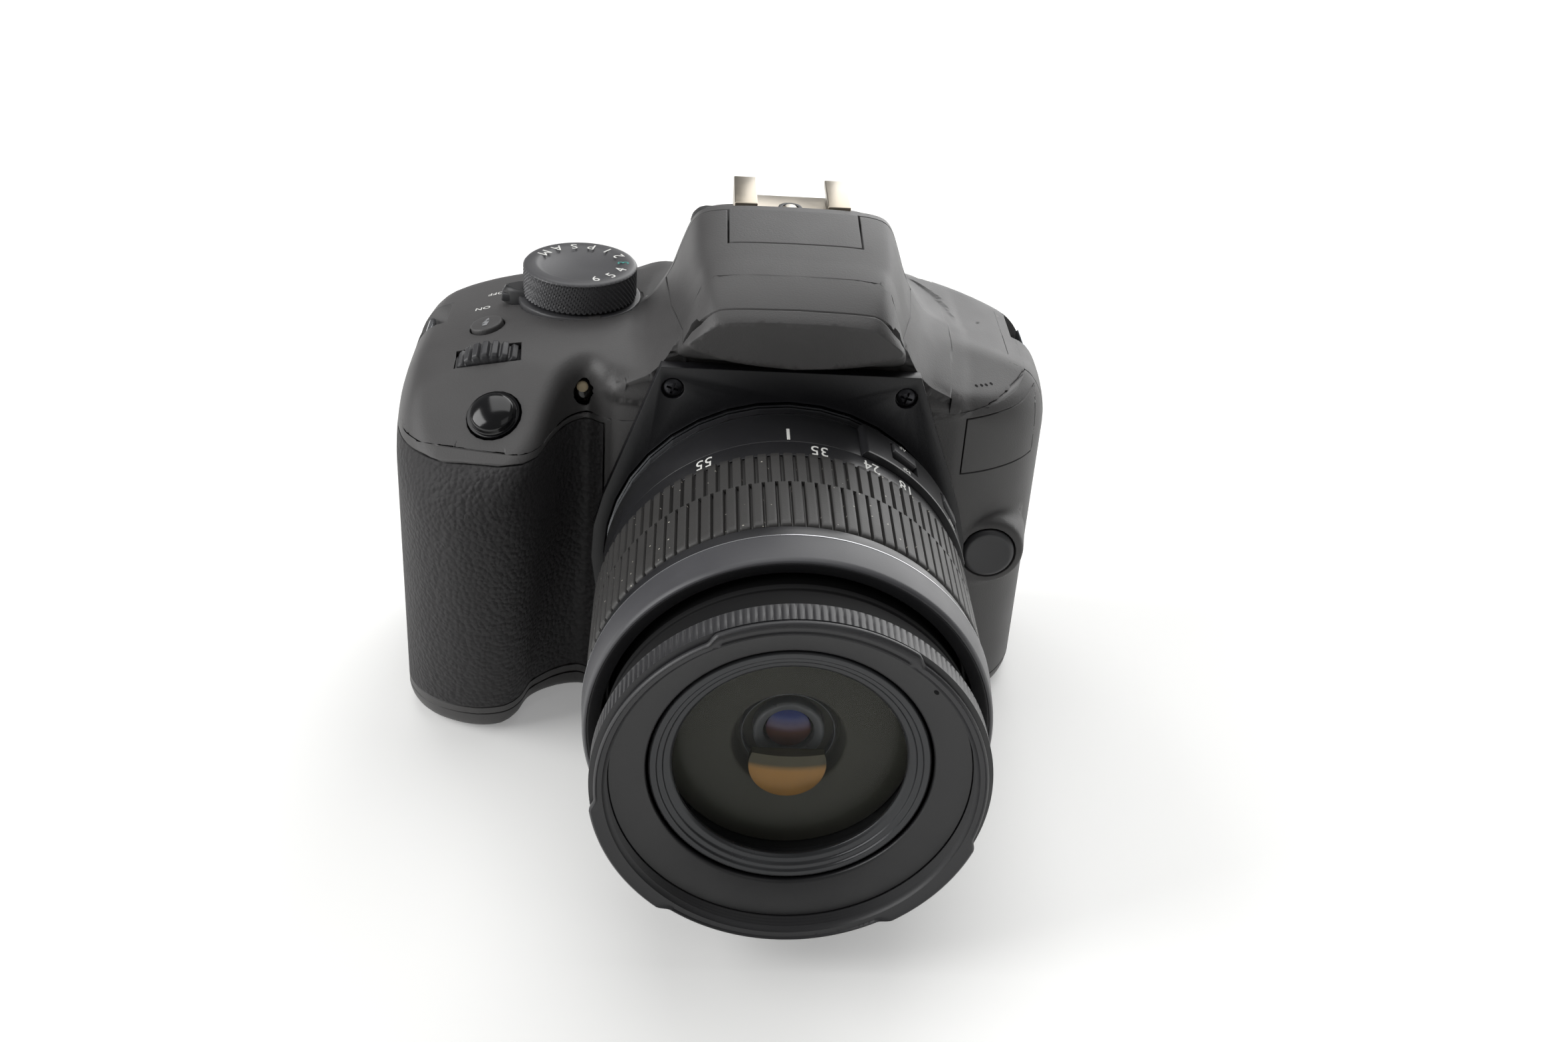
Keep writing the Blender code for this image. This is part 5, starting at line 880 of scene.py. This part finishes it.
# Hot shoe with contacts
dressed("hot_shoe", nickel, 0.22)
shoe = {"contactBack": 38.5, "floor": 93.95, "springAt": 8.1, "springHalf": 1.1, "springFrom": 31.6, "springTo": 43.6}
contactPlace = at(0, shoe["contactBack"], shoe["floor"])
lathe("shoeMiddleContact", [(0, 0.35), (1.0, 0.35), (1.3, 0.0), (1.3, -0.3), (0, -0.3)], paleContact, "camera",
      "shoe_metal", soft=0.1, centre=contactPlace, axis=upward, steps=48, closed=False)
lathe("shoeMiddleRing", [(1.5, 0.12), (2.3, 0.12), (2.3, -0.3), (1.5, -0.3)], satinPanel, "camera", "panel_black",
      soft=0.06, centre=contactPlace, axis=upward, steps=48)
springs = []
for side in (-1, 1):
    x, half, floorAt = side * shoe["springAt"], shoe["springHalf"], shoe["floor"]
    springs.append(slab((x - half, shoe["springFrom"], floorAt), (x + half, shoe["springTo"], floorAt + 0.45), 0.2))
setPiece("shoeSprings", merged(springs), paleContact, "camera", "shoe_metal")

# Self-timer lamp, lens release, strap lugs
lampLow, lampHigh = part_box("self_timer_lamp")
lampFace = Vector(((lampLow.x + lampHigh.x) / 2, lampLow.y, (lampLow.z + lampHigh.z) / 2))
lampRows = [(0, -0.1), (0.9, -0.18), (1.6, -0.45), (2.1, -0.9), (2.3, -1.3), (2.6, -1.35), (2.6, -2.4), (0, -2.4)]
lathe("lampWindow", lampRows, smokedAcrylic, "camera", "clear_window", "self_timer_lamp", centre=lampFace, steps=48,
      closed=False, sharp=50)
# The pale spot sits high in the lamp window: a painted reflection.
lathe("lampReflectionSpot", [(0, 0.05), (0.6, 0.0), (1.0, -0.2), (1.15, -0.5), (1.15, -1.6), (0, -1.6)], lampPaintedReflection, "camera",
      "clear_window", centre=lampFace + upward * 0.75 * mm, steps=40, closed=False, sharp=50)
releaseFace = at(*releasePlace, axisHeight)
releaseRows = [(0, 2.7), (3.4, 2.85), (4.4, 3.0), (5.1, 2.4), (5.1, 1.8), (3.0, 1.8), (3.0, -4.9), (0, -4.9)]
lathe("releaseCap", releaseRows, smoothAbs, "lens_release", "control_plastic", "lens_release_button", soft=0.4,
      centre=releaseFace, steps=72, closed=False, sharp=40)
for node in ("strap_lug_left", "strap_lug_right"):
    dressed(node, steel, 0.4)
# The mic holes are flat black discs on the skin: painted shade for their dark insides.
micHoles = [(35.4, 10.3), (36.5, 11.1), (37.5, 11.8), (38.6, 12.8)]
holeShades = [placed(plate(roundOutline(0.34, 0.34), 0.03), lambda gx, gy, z: onTop(x + gx, y + gy, z)) for x, y in micHoles]
setPiece("micHoles", merged(holeShades), blackPaintAndShade, "camera", "body_plastic")
print("front and shoe details made")

# Lens barrel, from the flange forward
fixedBarrel = {"radius": 32.9, "index": 11.6, "indexTurn": -0.02}
r = fixedBarrel["radius"]
lathe("fixedBarrel", [(r - 0.5, 2.6), (r, 4.6), (r, 14.2), (30.7, 14.2), (30.7, 45.0), (29.7, 45.0), (29.7, 2.6)],
      barrelResin, "camera", "lens_plastic", "rear_barrel", soft=0.35)
switchPanel = {"from": 22.0, "to": 76.0, "start": 3.6, "end": 14.15, "radius": 34.3, "root": 31.0, "perDegree": 0.598,
               "slots": (37.12, 60.88), "slotHalf": 3.0, "slotFrom": 5.95, "slotTo": 11.65, "slotDeep": 1.35,
               "wordsAt": (4.9, 12.9), "wordSize": 1.5}


def panelDepth(turn, along):  # how far the panel lies under its full radius: rounded edges and two slots
    p = switchPanel
    edge = min((turn - p["from"]) * p["perDegree"], (p["to"] - turn) * p["perDegree"], along - p["start"],
               (p["end"] - along) + 0.6)
    drop = 0.0 if edge > 1.0 else 1.0 - math.sqrt(max(0.0, 1 - (1 - max(edge, 0.0)) ** 2))
    for slot in p["slots"]:
        if abs(turn - slot) * p["perDegree"] < p["slotHalf"] and p["slotFrom"] < along < p["slotTo"]:
            drop = p["slotDeep"]
    return drop


panelBm = bmesh.new()
turnSteps, alongSteps = 130, 44
gridRows = []
for i in range(turnSteps + 1):
    turn = switchPanel["from"] + (switchPanel["to"] - switchPanel["from"]) * i / turnSteps
    row = []
    for j in range(alongSteps + 1):
        along = switchPanel["start"] + (switchPanel["end"] - switchPanel["start"]) * j / alongSteps
        radius = switchPanel["radius"] - panelDepth(turn, along)
        row.append(panelBm.verts.new(onLens(math.radians(turn), along, radius)))
    gridRows.append(row)
for a, b in zip(gridRows, gridRows[1:]):
    for j in range(alongSteps):
        panelBm.faces.new((a[j], a[j + 1], b[j + 1], b[j]))
border = [e for e in panelBm.edges if len(e.link_faces) == 1]
skirt = bmesh.ops.extrude_edge_only(panelBm, edges=border)["geom"]
for v in skirt:
    if isinstance(v, bmesh.types.BMVert):
        flat = v.co - lensCentre
        out = Vector((flat.x, 0, flat.z))
        v.co -= out * (1 - switchPanel["root"] * mm / out.length)
bmesh.ops.recalc_face_normals(panelBm, faces=panelBm.faces)
setPiece("lensSwitchPanel", panelBm, barrelResin, "camera", "lens_plastic", (), 38)
for node in ("focus_switch", "stabiliser_switch"):
    dressed(node, smoothAbs, 0.3)
for words, turn in zip((("AF", "MF"), ("ON", "OFF")), switchPanel["slots"]):
    for word, along in zip(words, switchPanel["wordsAt"]):
        mark("lensWord" + word.title(), lettering(word, switchPanel["wordSize"]),
             aroundLens(math.radians(turn), along, switchPanel["radius"], 0.02), whiteInk, "camera", "lens_plastic")
mark("lensIndexLine", plate(rectangle(-0.28, 0.28, -2.0, 2.0)),
     aroundLens(fixedBarrel["indexTurn"], fixedBarrel["index"], fixedBarrel["radius"], 0.01), whiteInk, "camera",
     "lens_plastic")

zoomBand = {"radius": 33.1, "numbers": (("18", 38.0), ("24", 25.0), ("35", 8.0), ("55", -27.5)), "along": 17.0,
            "size": 3.4, "tall": 1.35}
r = zoomBand["radius"]
lathe("zoomScaleBand", [(r, 14.5), (r, 19.5), (32.6, 19.5), (32.6, 44.4), (31.0, 44.4), (31.0, 14.5)], barrelResin,
      "zoom", "lens_plastic", "zoom_ring", soft=0.3)
digits = []
for word, turn in zoomBand["numbers"]:
    place = aroundLens(math.radians(turn), zoomBand["along"], r, 0.01, zoomBand["tall"])
    digits.append(placed(lettering(word, zoomBand["size"]), place))
setPiece("zoomNumbers", merged(digits), whiteInk, "zoom", "lens_plastic")

zoomRubber = {"radius": 33.9, "ribs": 96, "groove": 0.15, "depth": 0.75, "split": 30.2}


def rubberRibs(angle, radius, along):
    if radius < zoomRubber["radius"] - 0.4:
        return 0.0, 0.0
    shift = 0.0 if along < zoomRubber["split"] else 0.5
    place = (angle * zoomRubber["ribs"] / (2 * math.pi) + shift) % 1.0
    away = min(place, 1 - place)  # from the middle of a groove, as a share of the spacing
    share = clamp((zoomRubber["groove"] - away) / 0.07)
    return -zoomRubber["depth"] * share * share * (3 - 2 * share), 0.0


ribRows = [(zoomRubber["radius"], along) for along in (20.3, 21.5, 29.3, 30.15, 30.25, 31.1, 42.5, 43.6)]
lathe("zoomRibbedRubber", [(32.9, 19.8), (33.55, 19.85)] + ribRows + [(33.55, 44.05), (32.9, 44.1)], ribRubber, "zoom",
      "soft_rubber", "zoom_grip", steps=zoomRubber["ribs"] * 11, ripple=rubberRibs, sharp=50)
lathe("zoomCollar", [(33.7, 44.4), (33.7, 47.6), (31.0, 47.6), (31.0, 44.4)], barrelResin, "zoom", "lens_plastic",
      soft=0.25)
# A pale ring between the collar and the bezel: a painted highlight.
lathe("zoomEdgeHighlight", [(33.7, 47.6), (34.1, 47.75), (34.25, 47.95), (34.25, 48.15), (33.0, 48.2), (33.0, 47.6)],
      paintedHighlightEdge, "zoom", "lens_plastic", steps=240, sharp=25)
lathe("zoomBezel", [(34.25, 48.15), (33.8, 54.1), (33.45, 54.8), (33.0, 54.9), (32.9, 52.0), (32.0, 48.15)], bezelPaint,
      "zoom", "lens_plastic", soft=0.25, steps=240)
lathe("zoomBezelFace", [(33.0, 54.85), (32.6, 54.75), (30.85, 54.0), (30.85, 48.4), (32.9, 48.4)], rimResin, "zoom",
      "lens_plastic", soft=0.15)
tubeRows = [(29.4, 6.5), (29.4, 56.2), (30.4, 56.4), (30.4, 57.6), (30.0, 57.8), (30.0, 58.4), (30.4, 58.6),
            (30.4, 63.6), (27.8, 63.6), (27.8, 6.5)]
lathe("frontTube", tubeRows, blackPaintAndShade, "front_barrel", "lens_plastic", "front_barrel", soft=0.15)

focusRing = {"ribs": 168, "groove": 0.22, "depth": 0.22, "lugs": ((-142, -97), (-26, 35), (108, 147)), "lugRise": 1.0,
             "slotDeep": 0.7}


def focusRipple(angle, radius, along):
    if radius > 31.0 and 64.6 < along < 68.4:  # fine ribs
        place = (angle * focusRing["ribs"] / (2 * math.pi)) % 1.0
        return -focusRing["depth"] * clamp((focusRing["groove"] - min(place, 1 - place)) / 0.14), 0.0
    if radius > 29.6 and along > 68.8:  # bayonet lugs on the rim, the upper one with a slot behind its lip
        turn = (90 - math.degrees(angle) + 180) % 360 - 180
        share = max(clamp(min(turn - low, high - turn) / 4.5 + 0.5) for low, high in focusRing["lugs"])
        share *= share * (3 - 2 * share)
        if radius > 30.6:
            return focusRing["lugRise"] * share, 0.0
        return 0.0, -focusRing["slotDeep"] * share * (abs(turn) < 60)
    return 0.0, 0.0


threadRows = [(29.45 if k % 2 else 29.05, 68.6 - k * 0.36) for k in range(9)]
focusRows = [(28.9, 64.3), (31.4, 64.0), (31.9, 64.3), (31.9, 64.65), (31.9, 66.5), (31.9, 68.35), (31.9, 68.5),
             (31.2, 68.62), (30.4, 68.75), (30.9, 68.95), (31.1, 69.15), (31.1, 69.5), (31.0, 69.8), (30.75, 69.98),
             (30.65, 69.9), (30.5, 69.6), (30.2, 69.5), (29.75, 69.4), (29.5, 68.9)] + threadRows
ringBm = turned(focusRows, lensCentre, forward, focusRing["ribs"] * 7, focusRipple)
for face in ringBm.faces:
    middle = (face.calc_center_median() - lensCentre) / mm
    along, reach = -middle.y, math.hypot(middle.x, middle.z)
    inThread = along > 64.5 and reach < 29.6
    inShadedSlot = 68.66 < along < 69.2 and 29.6 < reach < 31.5 and middle.z > 15
    face.material_index = int(inThread or inShadedSlot)  # both take black: the thread its own paint, the slot's floor as painted shade
setPiece("focusRing", ringBm, [rimResin, blackPaintAndShade], "focus", "lens_plastic", "focus_ring", 45)
nameRows = [(29.1, 66.1), (28.9, 66.25), (23.7, 64.4), (23.3, 64.2), (23.1, 63.9), (23.1, 63.3), (29.1, 65.0)]
lathe("nameRing", nameRows, ringBlack, "focus", "lens_satin", "name_ring", soft=0.15)
nameDot = {"turn": 51, "radius": 27.6, "along": 65.81, "slope": 0.36}
mark("nameRingDot", plate(roundOutline(0.5, 0.35)), lambda x, y, z: onLens(
    math.radians(nameDot["turn"]) + x / nameDot["radius"], nameDot["along"] + nameDot["slope"] * y + z,
    nameDot["radius"] + y), blackPaintAndShade, "focus", "lens_satin")
cellRows = [(22.7, 50), (22.7, 63.6), (22.4, 63.9), (21.5, 63.9), (21.3, 63.5), (20.5, 63.35), (20.3, 63.0),
            (19.4, 62.75), (18.9, 62.3), (18.9, 61.75), (20.9, 61.35), (20.9, 50)]
lathe("lensCell", cellRows, cellGrey, "focus", "lens_satin", "front_lens_cell", soft=0.18)


def domeRows(radius, edge, crown, thick, count=14):  # a lens: front dome from the middle to its edge, then flat back
    rows = [(radius * k / count, crown - (crown - edge) * (k / count) ** 2) for k in range(count + 1)]
    return rows + [(radius, edge - thick), (0, edge - thick)]


frontGlass = {"radius": 20.6, "crown": 60.9, "sag": 1.9, "thick": 1.0, "steps": 16}
shares = [k / frontGlass["steps"] for k in range(frontGlass["steps"] + 1)]
glassRows = [(frontGlass["radius"] * share, frontGlass["crown"] - frontGlass["sag"] * share ** 2) for share in shares]
glassRows += [(r, along - frontGlass["thick"]) for r, along in reversed(glassRows)]
lathe("frontGlass", glassRows, coatedGlass, "focus", "lens_glass", "front_element", steps=144, closed=False, sharp=30)
lathe("lensDepth", [(0, 53.0), (8.6, 53.0), (9.4, 56.6), (20.7, 57.2), (20.7, 52.2), (0, 52.2)], depthPaintedReflection, "focus",
      "lens_satin", soft=0.4, steps=144, closed=False, sharp=30)
# An amber half-disc inside the lens, cut flat at its top: a painted reflection of the table in an inner coating.
amber = {"radius": 6.4, "edge": 57.7, "crown": 58.7, "thick": 1.4, "down": 4.0, "cut": 1.6}
amberBm = turned(domeRows(amber["radius"], amber["edge"], amber["crown"], amber["thick"]),
                 lensCentre - upward * amber["down"] * mm, forward, 96, None, False)
cut = bmesh.ops.bisect_plane(amberBm, geom=amberBm.verts[:] + amberBm.edges[:] + amberBm.faces[:], clear_outer=True,
                             plane_co=lensCentre - upward * amber["cut"] * mm, plane_no=upward)["geom_cut"]
bmesh.ops.contextual_create(amberBm, geom=[e for e in cut if isinstance(e, bmesh.types.BMEdge)])
setPiece("amberReflectionHalfDisc", amberBm, amberPaintedReflection, "focus", "lens_glass", (), 30)
innerCentre = lensCentre + upward * 0.6 * mm
lathe("innerGlassEdge", [(4.2, 54.6), (5.4, 55.0), (5.9, 54.7), (5.9, 52.8), (4.2, 52.8)], greyCoat, "focus",
      "lens_glass", soft=0.2, centre=innerCentre, steps=96, sharp=30)
lathe("innerGlassLine", [(7.6, 54.2), (7.75, 54.2), (7.9, 52.8), (7.5, 52.8)], greyCoat, "focus", "lens_glass",
      soft=0.05, steps=96, sharp=30)
lathe("innerGlass", domeRows(3.7, 53.7, 54.7, 1.0), violetPaintedReflection, "focus", "lens_glass", centre=innerCentre, steps=96,
      closed=False, sharp=30)
print("lens made")

# Back: eyecup, screen, buttons
dressed("eyecup", softRubber, 1.1, 4)
dressed("screen_window", screenGlass, 0.5)
dressed("battery_door", mouldedAbs, 0.3)
dressed("terminal_cover", softRubber, 0.5)
dressed("dioptre_knob", smoothAbs, 0.3)
screenArea = {"left": -17.5, "right": 41.5, "low": 10.8, "high": 53.2, "back": 52.3}
corners = [screenArea[side] for side in ("left", "right", "low", "high")]
mark("screenActiveArea", plate(rectangle(*corners)), lambda x, y, z: at(x, screenArea["back"] + z * 0.5, y), screenDark,
     "camera", "screen_gloss")
for node in ("menu_button", "playback_button", "delete_button", "live_view_button", "cross_keys", "set_button"):
    dressed(node, smoothAbs, 0.4)
keys = {"back": 53.0, "pad": (-43, 27), "playback": (-35.5, 9.9), "menu": (-35.5, 53.3), "menuLift": -0.97,
        "arrowAt": 8.3, "arrowSize": 0.5}


def onBack(place, lift=0.01):  # a mark on the back, read from behind, at this x and z
    return lambda x, y, z: at(place[0] - x, keys["back"] + lift + z, place[1] + y)


triangle = [(-1.0, -1.2), (1.2, 0.0), (-1.0, 1.2)]
keyMarks = []
for quarter in range(4):
    spin = Matrix.Rotation(quarter * math.pi / 2, 2)
    arrow = [spin @ Vector((keys["arrowAt"] + keys["arrowSize"] * x, keys["arrowSize"] * y)) for x, y in triangle]
    keyMarks.append(placed(plate(arrow), onBack(keys["pad"])))
setPiece("crossKeyMarks", merged(keyMarks), whiteInk, "cross_keys", "control_plastic")
mark("playbackMark", plate(triangle), onBack(keys["playback"]), blueInk, "playback_button", "control_plastic")
mark("setWord", lettering("SET", 2.0), onBack(keys["pad"]), whiteInk, "set_button", "control_plastic")
mark("menuWord", lettering("MENU", 1.7), onBack(keys["menu"], keys["menuLift"]), whiteInk, "camera", "body_plastic")
print("back made")

# Underside: threaded tripod socket
socketLow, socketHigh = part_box("tripod_socket")
socketFace = Vector(((socketLow.x + socketHigh.x) / 2, (socketLow.y + socketHigh.y) / 2, socketLow.z))
socketDeep = (socketHigh.z - socketLow.z) / mm
threadSides = [(3.5 if k % 2 else 3.2, 0.5 + k * 0.45) for k in range(15)]
bushRows = [(0, socketDeep), (6.0, socketDeep), (6.0, 0.3), (5.7, 0.0), (3.7, 0.0)] + threadSides
bushRows += [(3.2, 7.2), (0, 7.2)]
lathe("tripodBush", bushRows, steel, "camera", "metal", "tripod_socket", centre=socketFace, axis=upward, steps=72,
      closed=False)

for node, piece in nodes.items():
    if not piece.hide_render:
        piece.data.materials.clear()
        piece.data.materials.append(insideLooks[slotOf[node]])
print("inner parts finished")

# Camera at the photograph's viewing angle
view = {"place": (-20.384, -291.368, 217.615), "yaw": 0.0718538828, "pitch": 0.530124957, "roll": 0.0755114040,
        "lens": 41.37, "sensor": 36.0}
camera = bpy.data.cameras.new("view")
camera.lens, camera.sensor_width, camera.sensor_fit = view["lens"], view["sensor"], "HORIZONTAL"
camera.clip_start, camera.clip_end = 0.01, 50.0
cameraObject = bpy.data.objects.new("view", camera)
bpy.context.scene.collection.objects.link(cameraObject)
yaw, pitch, roll = view["yaw"], view["pitch"], view["roll"]
looking = Vector((math.sin(yaw) * math.cos(pitch), math.cos(yaw) * math.cos(pitch), -math.sin(pitch)))
right = Vector((math.cos(yaw), -math.sin(yaw), 0))
over = right.cross(looking)
rightRolled = right * math.cos(roll) + over * math.sin(roll)
overRolled = over * math.cos(roll) - right * math.sin(roll)
cameraObject.matrix_world = Matrix.Translation(at(*view["place"])) @ Matrix(
    (rightRolled, overRolled, -looking)).transposed().to_4x4()
bpy.context.scene.camera = cameraObject

# Pale floor, soft studio light
floorBm = bmesh.new()
bmesh.ops.create_grid(floorBm, x_segments=1, y_segments=1, size=6.0)
floorMesh = bpy.data.meshes.new("floor")
floorBm.to_mesh(floorMesh)
floorBm.free()
paleTable = finish("paleTable", "#f3f3f1", 0.6, shade=0.01, patch=400.0)  # matt white laminate
tableTree = paleTable.node_tree
path = addNode(tableTree, "LightPath")
seen = addNode(tableTree, "Math", {"operation": "MAXIMUM"},
               {0: path.outputs["Is Camera Ray"], 1: path.outputs["Is Glossy Ray"]})
seen = addNode(tableTree, "Math", {"operation": "MAXIMUM"},
               {0: seen.outputs[0], 1: path.outputs["Is Transmission Ray"]})
reach = addNode(tableTree, "VectorMath", {"operation": "LENGTH"}, {0: addNode(tableTree, "TexCoord").outputs["Object"]})
white = addNode(tableTree, "MapRange", {"From Min": 0.3, "From Max": 1.3, "To Min": 0.22, "To Max": 0.9},
                {"Value": reach.outputs["Value"]})  # painted glow on the floor for camera, glossy and transmission rays: faint near the part, whiter away from it, with no more light on the part
lift = addNode(tableTree, "Math", {"operation": "MULTIPLY"}, {0: seen.outputs[0], 1: white.outputs[0]})
tableShader = tableTree.nodes["Principled BSDF"]
tableShader.inputs["Emission Color"].default_value = linear("#ffffff")
tableTree.links.new(lift.outputs[0], tableShader.inputs["Emission Strength"])
floorMesh.materials.append(paleTable)
floor = bpy.data.objects.new("floor", floorMesh)
bpy.context.scene.collection.objects.link(floor)
floor.location.z = cadLow.z
lamps = {"overhead": {"place": (0.00, 0.40, 1.15), "size": 1.1, "power": 7.0},
         "back": {"place": (0.65, 1.10, 0.48), "size": 1.3, "power": 14.0},
         "left": {"place": (-1.10, -0.20, 0.65), "size": 0.9, "power": 12.0},
         "front": {"place": (0.55, -0.95, 1.05), "size": 0.8, "power": 0.9}}
for name, lamp in lamps.items():
    light = bpy.data.lights.new(name, "AREA")
    light.energy, light.size = lamp["power"], lamp["size"]
    lightObject = bpy.data.objects.new(name, light)
    bpy.context.scene.collection.objects.link(lightObject)
    lightObject.location = lamp["place"]
    aim = Vector((0, 0, 0.04)) - Vector(lamp["place"])
    lightObject.rotation_euler = aim.to_track_quat("-Z", "Y").to_euler()
world = bpy.data.worlds.new("studio")
world.use_nodes = True
bpy.context.scene.world = world
world.node_tree.nodes["Background"].inputs["Color"].default_value = linear("#ffffff")
straight = addNode(world.node_tree, "LightPath").outputs["Is Camera Ray"]
glow = addNode(world.node_tree, "MapRange", {"To Min": 0.18, "To Max": 1.0}, {"Value": straight})  # white when seen
world.node_tree.links.new(glow.outputs[0], world.node_tree.nodes["Background"].inputs["Strength"])
bpy.context.scene.view_settings.view_transform = "Standard"
